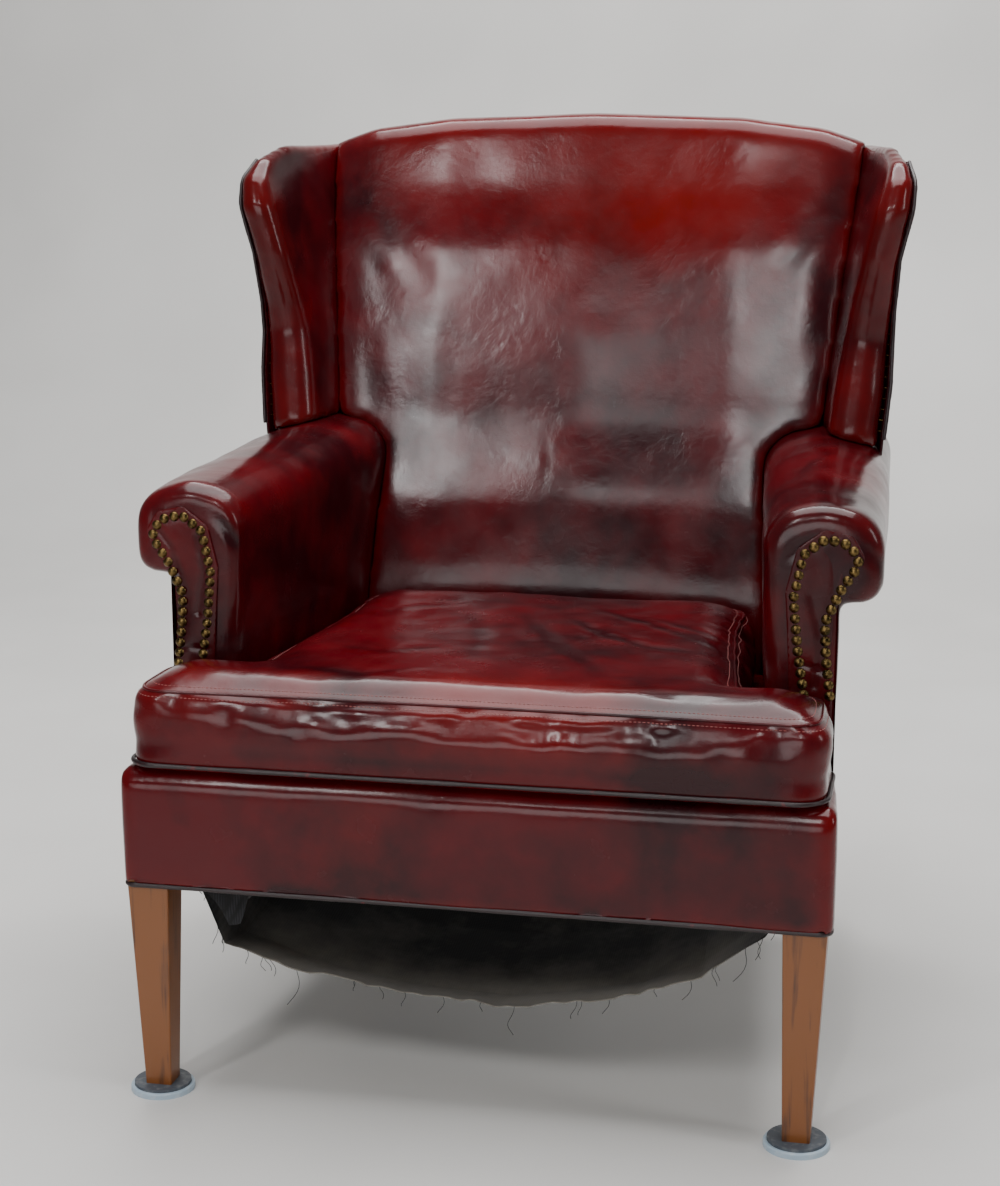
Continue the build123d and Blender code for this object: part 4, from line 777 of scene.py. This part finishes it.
def pressed_by_air(form, most):
    """Swell a form with cloth pressure, up to a cap, and keep the result."""
    # It starts sunk by a share of what the air may raise, so that the sides still draw in
    sunk = 0.7
    start = form.points - form.normals() * most * sunk
    form.points = start.copy()
    form.store()
    holder = placed("swelling", form.mesh.copy())
    scene = bpy.context.scene
    cloth = holder.modifiers.new("air", "CLOTH").settings
    cloth.quality = 4
    cloth.mass = 0.6
    cloth.tension_stiffness = 30
    cloth.compression_stiffness = 12
    cloth.shear_stiffness = 12
    cloth.bending_stiffness = 4
    cloth.use_pressure = True
    cloth.uniform_pressure_force = 4
    cloth.effector_weights.gravity = 0
    for step in range(1, air_frames + 1):
        scene.frame_set(step)
    mesh = applied(holder)
    move = mesh_points(mesh) - start
    bpy.data.meshes.remove(mesh)
    scene.frame_set(1)
    length = np.linalg.norm(move, axis=1, keepdims=True)
    form.points = start + move * np.minimum(1, most / np.maximum(length, 1e-9))
    form.relax(2)


def nail_spots(node):
    """Centres of the separate solids in a node."""
    joined = merged_nodes([node])
    waiting = set(joined.verts)
    spots = []
    while waiting:
        group, reach = [], [waiting.pop()]
        while reach:
            vert = reach.pop()
            group.append(vert.co)
            for edge in vert.link_edges:
                other = edge.other_vert(vert)
                if other in waiting:
                    waiting.discard(other)
                    reach.append(other)
        front = min(group, key=lambda spot: spot.y)
        spots.append(np.array([sum(spot[axis] for spot in group) / len(group) for axis in range(3)]))
        spots[-1][1] = front.y
    joined.free()
    return spots


# Creases of the inside back: points of the photograph, then width and depth in millimetres
back_creases = [
    ([(352, 186), (384, 224), (408, 258), (436, 292)], 16, 0.6),
    ([(348, 226), (370, 254), (392, 298)], 15, 0.45),
    ([(850, 180), (820, 208), (792, 246)], 16, 0.6),
    ([(844, 214), (812, 240), (776, 270)], 14, 0.5),
    ([(836, 266), (824, 318), (812, 372)], 16, 0.6),
    ([(362, 320), (368, 370), (374, 420)], 15, 0.5),
    ([(545, 438), (549, 462), (543, 488)], 5, 0.25),
]
# Worn patches, partly painted highlight: point of the photograph, radius in metres, strength
back_worn_and_highlit = [
    ((430, 140), 0.09, 0.45),
    ((540, 150), 0.12, 0.4),
    ((660, 160), 0.12, 0.45),
    ((780, 150), 0.10, 0.45),
    ((690, 215), 0.10, 0.45),
    ((560, 262), 0.08, 0.25),
]

cushion_creases = [
    ([(566, 616), (604, 634), (650, 648), (706, 656)], 9, 1.4),
    ([(600, 610), (646, 622), (700, 642), (730, 660)], 8, 1.2),
    ([(380, 612), (420, 606), (470, 604)], 9, 0.7),
    ([(655, 618), (700, 632), (742, 662)], 8, 1.1),
    ([(520, 612), (552, 640), (604, 676)], 10, 1.2),
    ([(470, 612), (482, 634), (470, 660)], 11, 0.9),
    ([(340, 644), (384, 652), (446, 646)], 10, 0.9),
    ([(300, 664), (360, 674), (430, 666)], 10, 0.9),
    ([(640, 690), (690, 700), (750, 700)], 10, 0.9),
]
# Worn patches of the cushion, partly painted highlight
cushion_worn_and_highlit = [
    ((515, 702), 0.055, 0.8),
    ((600, 706), 0.045, 0.6),
    ((440, 698), 0.045, 0.6),
    ((300, 690), 0.04, 0.35),
    ((190, 688), 0.05, 0.4),
]

arm_creases = {
    "left": [
        ([(152, 506), (158, 530), (163, 556)], 6, 1.3),
        ([(164, 493), (190, 487), (222, 494), (238, 508)], 7, 1.4),
        ([(214, 512), (226, 528), (237, 550)], 6, 1.9),
    ],
    "right": [
        ([(786, 562), (800, 548), (824, 538)], 6, 1.4),
        ([(858, 542), (872, 554), (882, 572)], 6, 1.2),
        ([(796, 478), (812, 462), (832, 452)], 8, 1.0),
    ],
}

# Folds of the facings between their nails
facing_folds = {
    "left": [
        ([(176, 560), (186, 596), (182, 640)], 5, 1.3),
        ([(196, 536), (203, 572), (198, 612)], 4, 1.1),
        ([(174, 650), (190, 647), (208, 650)], 3, 1.2),
        ([(160, 532), (172, 548), (176, 572)], 4, 0.9),
    ],
    "right": [
        ([(812, 596), (822, 640), (814, 686)], 5, 1.3),
        ([(838, 560), (834, 596), (824, 622)], 4, 1.1),
        ([(798, 664), (814, 668), (832, 676)], 3, 1.1),
        ([(852, 560), (846, 590), (838, 604)], 4, 0.9),
    ],
}


# Edges that stay sharp: of a flat panel, a facing and a cloth
panel_edge = radians(35)
facing_edge = radians(40)
cloth_edge = radians(60)


def flat_panel(node, name, spacing, wear_and_painted_light=0.0):
    """Hide drawn flat over a thinly padded panel."""
    form = Form(divided_mesh([node], spacing))
    form.wear_and_painted_light += wear_and_painted_light
    piece = form.piece(name, "chair", "leather", finish("flat_leather"), [node], sharp=panel_edge)


def cord(node, name, body, regain, size, depth, seed):
    """A welt: hide drawn over cord, a little uneven."""
    form = soft_form([node], bpy.context.scene.armchair_sizes.welt_skin, 2, regain)
    form.ripple(size, depth, seed)
    form.piece(name, body, "leather_welt", finish("welt"), [node])


class ARMCHAIR_OT_inside_back(bpy.types.Operator):
    """Makes the tight padded back with its corner creases"""

    bl_idname = "armchair.inside_back"
    bl_label = "Inside Back"

    def execute(self, context):
        sizes = context.scene.armchair_sizes
        form = soft_form(["back_pad"], sizes.skin, 10, 0.8 * MM)
        form.work(back_creases, back_worn_and_highlit)
        form.ripple(0.19, 2.4 * MM, 3)
        form.ripple(0.06, 0.5 * MM, 5)
        piece = form.piece("back_leather", "chair", "leather_pad", finish("leather"), ["back_pad"])
        return {"FINISHED"}


class ARMCHAIR_OT_wings(bpy.types.Operator):
    """Makes the padded wings, their outside panels and welts"""

    bl_idname = "armchair.wings"
    bl_label = "Wings"

    def execute(self, context):
        sizes = context.scene.armchair_sizes
        for seed, side in enumerate(("left", "right")):
            filling = [f"wing_{part}_{side}" for part in ("pad", "post", "rail")]
            pad = soft_form(filling, sizes.skin, 6, 0.6 * MM)
            front = pad.points[:, 1].min()
            # The wing fronts are brightened to the worn red: partly worn glaze, partly painted highlight
            pad.wear_and_painted_light += bell(pad.points[:, 1] - front, 45 * MM) * 0.25
            pad.ripple(0.09, 1.6 * MM, 11 + seed)
            pad.ripple(0.03, 0.5 * MM, 13 + seed)
            piece = pad.piece(
                f"wing_leather_{side}", "chair", "leather_pad", finish("leather"), [f"wing_pad_{side}"]
            )
            flat_panel(f"wing_panel_{side}", f"wing_back_leather_{side}", wing_panel_spacing)
            cord(f"wing_welt_{side}", f"wing_cord_{side}", "chair", 0.3 * MM, 0.02, 0.35 * MM, 15 + seed)
        return {"FINISHED"}


class ARMCHAIR_OT_arms(bpy.types.Operator):
    """Makes the rolled arms with the pleats at their fronts"""

    bl_idname = "armchair.arms"
    bl_label = "Arms"

    def execute(self, context):
        sizes = context.scene.armchair_sizes
        for seed, side in enumerate(("left", "right")):
            form = soft_form([f"arm_pad_{side}", f"arm_board_{side}"], sizes.fine_skin, 7, 0.6 * MM)
            form.work(arm_creases[side])
            form.ripple(0.11, 1.8 * MM, 21 + seed)
            form.ripple(0.035, 0.6 * MM, 23 + seed)
            piece = form.piece(
                f"arm_leather_{side}", "chair", "leather_pad", finish("leather"), [f"arm_pad_{side}"]
            )
        return {"FINISHED"}


class ARMCHAIR_OT_facings(bpy.types.Operator):
    """Makes the arm fronts' facing panels, dimpled at each nail"""

    bl_idname = "armchair.facings"
    bl_label = "Arm Facings"

    def execute(self, context):
        for seed, side in enumerate(("left", "right")):
            form = Form(divided_mesh([f"arm_facing_{side}"], facing_spacing))
            tree = form.tree()
            shift = drift(form.points * np.array((1.6, 1, 0.8)), 0.03, 31 + seed)
            for pixels, width, depth in facing_folds[side]:
                gap = form.along(form.seen(pixels, tree))[0]
                fold = bell(gap, width * MM)
                shift += fold * depth
                # Painted shade darkens each fold
                form.painted_shade = np.maximum(form.painted_shade, fold * 0.5)
            form.points[:, 1] += shift * MM
            dimple_width, dimple_depth = 6 * MM, 0.6
            for spot in nail_spots(f"arm_nails_{side}"):
                gap = np.linalg.norm(form.points - spot, axis=1)
                form.points[:, 1] += bell(gap, dimple_width) * dimple_depth * MM
            form.wear_and_painted_light += 0.2
            piece = form.piece(
                f"facing_leather_{side}",
                "chair",
                "leather",
                finish("leather"),
                [f"arm_facing_{side}"],
                sharp=facing_edge,
            )
        return {"FINISHED"}


class ARMCHAIR_OT_cushion(bpy.types.Operator):
    """Makes the loose cushion with its puckered boxing, top seam, stitches and welt"""

    bl_idname = "armchair.cushion"
    bl_label = "Cushion"

    def execute(self, context):
        sizes = context.scene.armchair_sizes
        low = box("cushion")[0]
        # The top seam's height over the cushion's underside, and the stitches beside it
        seam = low.z + 84 * MM
        stitch_rows = (seam - 5 * MM, seam + 4.5 * MM)
        form = soft_form(["cushion"], sizes.fine_skin, 5, 0.4 * MM)
        plain = form.points.copy()
        pressed_by_air(form, sizes.puff)
        # The bottom edge stays drawn to its welt
        sewn = 1 - ramp(plain[:, 2], low.z + 8 * MM, low.z + 30 * MM)
        form.points += (plain - form.points) * sewn[:, None]
        form.work(cushion_creases, cushion_worn_and_highlit)
        # Puckers gather in the boxing below the seam, and the top panel has its own ripples
        height = form.points[:, 2]
        upper = ramp(height, seam - 62 * MM, seam - 22 * MM) * (1 - ramp(height, seam - 8 * MM, seam))
        form.ripple(0.042, sizes.pucker, 41, mask=upper, squash=(1, 1, 1.6))
        form.ripple(0.020, sizes.pucker * 0.5, 43, mask=upper, squash=(1, 1, 1.3))
        top = ramp(height, seam - 2 * MM, seam + 8 * MM)
        form.ripple(0.075, 1.8 * MM, 45, mask=top)
        form.ripple(0.028, 0.7 * MM, 47, mask=top)
        ridge_width, ridge_height = 3.5 * MM, 1.4
        ridge = bell(height - seam, ridge_width)
        form.points += form.normals() * (ridge * ridge_height * MM)[:, None]
        grown(
            "cushion_seam",
            [(level_ring(form, seam, 3 * MM), True)],
            thread_tree(),
            {"Radius": sizes.seam_radius},
            finish("leather"),
            "cushion",
        )
        stitch = {
            "Pitch": sizes.stitch_pitch,
            "Length": sizes.stitch_length,
            "Radius": sizes.thread_radius * 2,
        }
        grown(
            "cushion_stitches",
            [(level_ring(form, height, 2 * MM), True) for height in stitch_rows],
            stitch_tree(),
            stitch,
            finish("stitch"),
            "cushion",
        )
        piece = form.piece("cushion_leather", "cushion", "leather_pad", finish("leather"), ["cushion"])
        core = soft_form(["cushion_core"], filling_skin, 6)
        core = core.piece("cushion_filling", "cushion", "wadding", finish("wadding"), ["cushion_core"])
        cord("cushion_welt", "cushion_cord", "cushion", 0.3 * MM, 0.03, 0.5 * MM, 49)
        return {"FINISHED"}


class ARMCHAIR_OT_seat_front(bpy.types.Operator):
    """Makes the seat rail's leather with its padded top edge and the welt below"""

    bl_idname = "armchair.seat_front"
    bl_label = "Seat Front"

    def execute(self, context):
        sizes = context.scene.armchair_sizes
        form = soft_form(["front_cover"], sizes.fine_skin, 4, 0.4 * MM)
        form.ripple(0.12, 1.6 * MM, 51)
        form.ripple(0.04, 0.5 * MM, 53)
        # The hide is drawn down over the rail's lower edge to the welt, and a little forward
        drawn_height, front_depth = 10 * MM, 12 * MM
        drawn_down, drawn_forward = 2.2, 0.8
        low = box("front_cover")[0]
        edge = 1 - ramp(form.points[:, 2], low.z, low.z + drawn_height)
        form.points[:, 2] -= edge * drawn_down * MM
        form.points[:, 1] -= edge * (form.points[:, 1] < low.y + front_depth) * drawn_forward * MM
        form.wear_and_painted_light += np.clip(drift(form.points, 0.11, 57), 0, 1) * 0.35
        piece = form.piece("seat_front_leather", "chair", "leather_pad", finish("leather"), ["front_cover"])
        cord("base_welt", "base_cord", "chair", 0.35 * MM, 0.045, 1.0 * MM, 55)
        return {"FINISHED"}


class ARMCHAIR_OT_outside(bpy.types.Operator):
    """Makes the outside back and the side panels below the arms"""

    bl_idname = "armchair.outside"
    bl_label = "Outside Panels"

    def execute(self, context):
        for node in ("outside_back", "side_panel_left", "side_panel_right"):
            flat_panel(node, f"{node}_leather", outside_spacing, wear_and_painted_light=0.05)
        return {"FINISHED"}


class ARMCHAIR_OT_deck(bpy.types.Operator):
    """Makes the padded deck under the cushion and the hessian under it"""

    bl_idname = "armchair.deck"
    bl_label = "Deck"

    def execute(self, context):
        form = soft_form(["deck_pad"], deck_skin, 2, 0.2 * MM)
        form.ripple(0.10, 0.8 * MM, 61)
        piece = form.piece("deck_leather", "chair", "leather_pad", finish("flat_leather"), ["deck_pad"])
        # Each cloth: node, piece, slot and what carries it
        cloths = [
            ("seat_hessian", "seat_cloth", "hessian", ["seat_springs", "front_rail", "back_rail"]),
            ("back_webbing", "back_straps", "webbing", ["back_post_left", "back_post_right"]),
        ]
        for node, name, slot, carriers in cloths:
            form = Form(divided_mesh([node], hidden_cloth_spacing))
            cloth = form.piece(name, "chair", slot, finish(slot), [node], sharp=cloth_edge)
        return {"FINISHED"}


def frayed(start, run, chance):
    """A thread that hangs from a torn edge with a loose curl."""
    share = np.linspace(0, 1, 9)
    sway = chance.uniform(-0.35, 0.35, 2)
    curl = chance.uniform(0, 2 * pi)
    x = start[0] + run * (sway[0] * share + 0.1 * (np.sin(curl + 5 * share) - sin(curl)))
    y = start[1] + run * (sway[1] * share + 0.1 * (np.cos(curl + 5 * share) - cos(curl)))
    return np.stack((x, y, start[2] - run * share * 0.9), axis=1)


class ARMCHAIR_OT_dust_cover(bpy.types.Operator):
    """Hangs the torn dust cover under the seat, with its torn flap and loose threads"""

    bl_idname = "armchair.dust_cover"
    bl_label = "Dust Cover"

    def execute(self, context):
        sizes = context.scene.armchair_sizes
        low = box("dust_cover")[0]
        form = Form(divided_mesh(["dust_cover"], dust_cover_spacing))
        # The cloth is torn along its front edge, uneven for 40 mm and painted lighter for 150 mm as a band
        # of light, but not at its sides
        torn_reach, lit_band_reach = 40 * MM, 150 * MM
        whole_from, whole_at = 0.24, 0.31
        across = form.points * np.array((1, 0, 0))
        edge = 1 - ramp(form.points[:, 1], low.y, low.y + torn_reach)
        middle = 1 - ramp(np.abs(form.points[:, 0]), whole_from, whole_at)
        torn = drift(across, 0.05, 71) * 6 + drift(across, 0.013, 73) * 3
        form.points[:, 1] += torn * edge * middle * MM
        form.points[:, 2] += (drift(form.points, 0.07, 75) * 2 + torn * edge * 0.4) * middle * MM
        # Painted light: a lit band along the front edge, in the dust colour
        dust_and_lit_band = 1 - ramp(form.points[:, 1], low.y, low.y + lit_band_reach)
        form.wear_and_painted_light = dust_and_lit_band * middle
        cloth = form.piece(
            "dust_cloth", "chair", "cambric", finish("cambric"), ["dust_cover"], sharp=cloth_edge
        )
        front = form.points[form.points[:, 1] < low.y + 10 * MM]
        chance = np.random.default_rng(7)
        starts = [front[chance.integers(len(front))] for _ in range(sizes.loose_threads)]
        rows = [(frayed(start, chance.uniform(7, 30) * MM, chance), False) for start in starts]
        # Three long threads hang where the photograph shows them
        long_thread = 42 * MM
        for pixel in ((300, 972), (748, 956), (515, 1003)):
            place = np.array(tuple(on_depth(pixel, low.y)))
            start = front[np.argmin(np.linalg.norm(front - place, axis=1))]
            rows.append((frayed(start, long_thread, chance), False))
        threads = grown(
            "dust_threads",
            rows,
            thread_tree(),
            {"Radius": sizes.loose_thread_radius},
            finish("cambric"),
            "chair",
        )
        # A scrap of the torn cloth still hangs below the front rail
        rail_low, rail_high = box("front_rail")
        hang_y, hang_z = rail_high.y - 6 * MM, rail_low.z
        start, end = on_depth((196, 893), hang_y), on_depth((266, 893), hang_y)
        columns, rows = 14, 8
        points, faces = [], []
        for down, along in product(range(rows + 1), range(columns + 1)):
            share, fall = along / columns, down / rows
            # In millimetres: short at both ends, a tongue in the middle, and an uneven edge
            length = 7 + 46 * bell(share - 0.5, 0.2) + 3 * sin(along * 2.4)
            x = start.x + (end.x - start.x) * share + 3 * MM * sin(fall * 4 + share * 7) * fall
            y = hang_y + 4 * MM * sin(share * 9 + fall * 3) * fall
            points.append((x, y, hang_z - length * fall * MM))
        for down, along in product(range(rows), range(columns)):
            corner = down * (columns + 1) + along
            below = corner + columns + 1
            faces.append((corner, corner + 1, below + 1, below))
        mesh = bpy.data.meshes.new("torn_flap")
        mesh.from_pydata(points, [], faces)
        holder = placed("torn_flap", mesh)
        wall = holder.modifiers.new("wall", "SOLIDIFY")
        wall.thickness = sizes.cloth_thickness
        wall.offset = 0
        scrap = Form(applied(holder))
        # The flap gets less of the painted light
        scrap.wear_and_painted_light -= 0.4
        flap = scrap.piece("torn_flap", "chair", "cambric", finish("cambric"), [], sharp=cloth_edge)
        return {"FINISHED"}


class ARMCHAIR_OT_hard_parts(bpy.types.Operator):
    """Gives the frame, legs, nails, springs and sliders their finishes"""

    bl_idname = "armchair.hard_parts"
    bl_label = "Hard Parts"

    def execute(self, context):
        finishes = {
            "stained_wood": "stained_wood",
            "frame_wood": "beech",
            "antique_brass": "brass",
            "steel": "steel",
            "hessian": "hessian",
            "webbing": "webbing",
            "cambric": "cambric",
            "wadding": "wadding",
            "slider_plastic": "slider_base",
            "slider_rubber": "slider_pad",
            "leather": "flat_leather",
            "leather_pad": "leather",
            "leather_welt": "welt",
        }
        slots = {part["node"]: part["material_slot"] for part in frame["record"]["subparts"]}
        for name, node in frame["nodes"].items():
            coat = finish(finishes[slots[name]])
            for slot in node.material_slots:
                slot.material = coat
            if not node.material_slots:
                node.data.materials.append(coat)
        return {"FINISHED"}


class ARMCHAIR_OT_studio(bpy.types.Operator):
    """Sets the floor, the soft lights and the camera"""

    bl_idname = "armchair.studio"
    bl_label = "Studio"

    def execute(self, context):
        scene = context.scene
        colours = scene.armchair_colours
        # Floor and backdrop are one sheet with a wide bend
        reach, bend, back = 9.0, 1.2, 2.2
        profile = [(-reach, 0.0), (back, 0.0)]
        bend_steps = 12
        for step in range(1, bend_steps + 1):
            turn = step / bend_steps * pi / 2
            profile.append((back + bend * sin(turn), bend - bend * cos(turn)))
        wall_height = 4.5
        profile.append((back + bend, wall_height))
        points = [(x, y, z) for x in (-reach, reach) for y, z in profile]
        count = len(profile)
        faces = [(step, step + count, step + count + 1, step + 1) for step in range(count - 1)]
        mesh = bpy.data.meshes.new("studio_floor")
        mesh.from_pydata(points, [], faces)
        mesh.polygons.foreach_set("use_smooth", [True] * len(mesh.polygons))
        material, tree, shader, place = new_material("painted_floor", Roughness=0.55)
        stain = noise(tree, place, 1.5, 3.0)
        paint = colour_ramp(tree, stain, [(0.4, darker(colours.floor, 0.93)), (0.6, colours.floor)])
        dress(tree, shader, Base_Color=paint)
        mesh.materials.append(material)
        placed("studio_floor", mesh)
        # Windows and soft boxes: place, size, power, and the point that they face
        windows = [
            ("window_left", (-1.15, -2.45, 2.5), (0.2, 0.8), 17, (-0.19, 0.25, 0.74)),
            ("window_middle", (-0.36, -2.67, 2.28), (0.4, 0.45), 4, (0.07, 0.24, 0.72)),
            ("window_right", (0.30, -2.62, 2.55), (0.13, 0.8), 12, (0.24, 0.25, 0.75)),
            ("side_window", (3.0, -0.9, 1.8), (0.5, 1.4), 16, (0.3, 0.1, 0.8)),
            ("front_fill", (-0.6, -3.6, 0.9), (2.2, 1.0), 26, (0.0, 0.0, 0.5)),
            ("sky", (0.0, 0.3, 3.6), (3.0, 3.0), 170, (0.0, 0.0, 0.0)),
            ("wall_wash", (0.0, 1.6, 3.6), (3.0, 0.5), 60, (0.0, 3.4, 1.0)),
        ]
        for name, spot, size, power, aim in windows:
            light = bpy.data.lights.new(name, "AREA")
            light.shape = "RECTANGLE"
            light.size, light.size_y = size
            light.energy = power
            lamp = placed(name, light)
            lamp.location = spot
            lamp.rotation_euler = (Vector(aim) - Vector(spot)).to_track_quat("-Z", "Y").to_euler()
        world = bpy.data.worlds.new("soft_room")
        world.use_nodes = True
        background = world.node_tree.nodes["Background"]
        background.inputs["Color"].default_value = (0.9, 0.95, 1.0, 1.0)
        background.inputs["Strength"].default_value = 0.14
        scene.world = world
        view = bpy.data.cameras.new("photo_camera")
        view.lens = camera_lens
        view.sensor_width = camera_sensor
        scene.camera = placed("photo_camera", view)
        scene.camera.location = camera_place
        scene.camera.rotation_euler = camera_turn
        return {"FINISHED"}


operators = (
    ARMCHAIR_OT_hard_parts,
    ARMCHAIR_OT_inside_back,
    ARMCHAIR_OT_wings,
    ARMCHAIR_OT_arms,
    ARMCHAIR_OT_facings,
    ARMCHAIR_OT_cushion,
    ARMCHAIR_OT_seat_front,
    ARMCHAIR_OT_outside,
    ARMCHAIR_OT_deck,
    ARMCHAIR_OT_dust_cover,
    ARMCHAIR_OT_studio,
)


class ARMCHAIR_PT_panel(bpy.types.Panel):
    """Lists the armchair's sizes, colours and pieces"""

    bl_idname = "ARMCHAIR_PT_panel"
    bl_label = "Leather Wing Armchair"
    bl_space_type = "VIEW_3D"
    bl_region_type = "UI"
    bl_category = "Armchair"

    def draw(self, context):
        for settings in (context.scene.armchair_sizes, context.scene.armchair_colours):
            column = self.layout.column(align=True)
            for name in settings.__annotations__:
                column.prop(settings, name)
        column = self.layout.column(align=True)
        for operator in operators:
            column.operator(operator.bl_idname)


classes = (ArmchairSizes, ArmchairColours, *operators, ARMCHAIR_PT_panel)


def register():
    """Register the classes and the scene's settings."""
    for item in classes:
        bpy.utils.register_class(item)
    bpy.types.Scene.armchair_sizes = PointerProperty(type=ArmchairSizes)
    bpy.types.Scene.armchair_colours = PointerProperty(type=ArmchairColours)


def unregister():
    """Take the classes and the settings away again."""
    del bpy.types.Scene.armchair_colours
    del bpy.types.Scene.armchair_sizes
    for item in reversed(classes):
        bpy.utils.unregister_class(item)


def main():
    """Make every piece in order."""
    register()
    for operator in operators:
        family, name = operator.bl_idname.split(".")
        getattr(getattr(bpy.ops, family), name)()


if __name__ == "__main__":
    main()
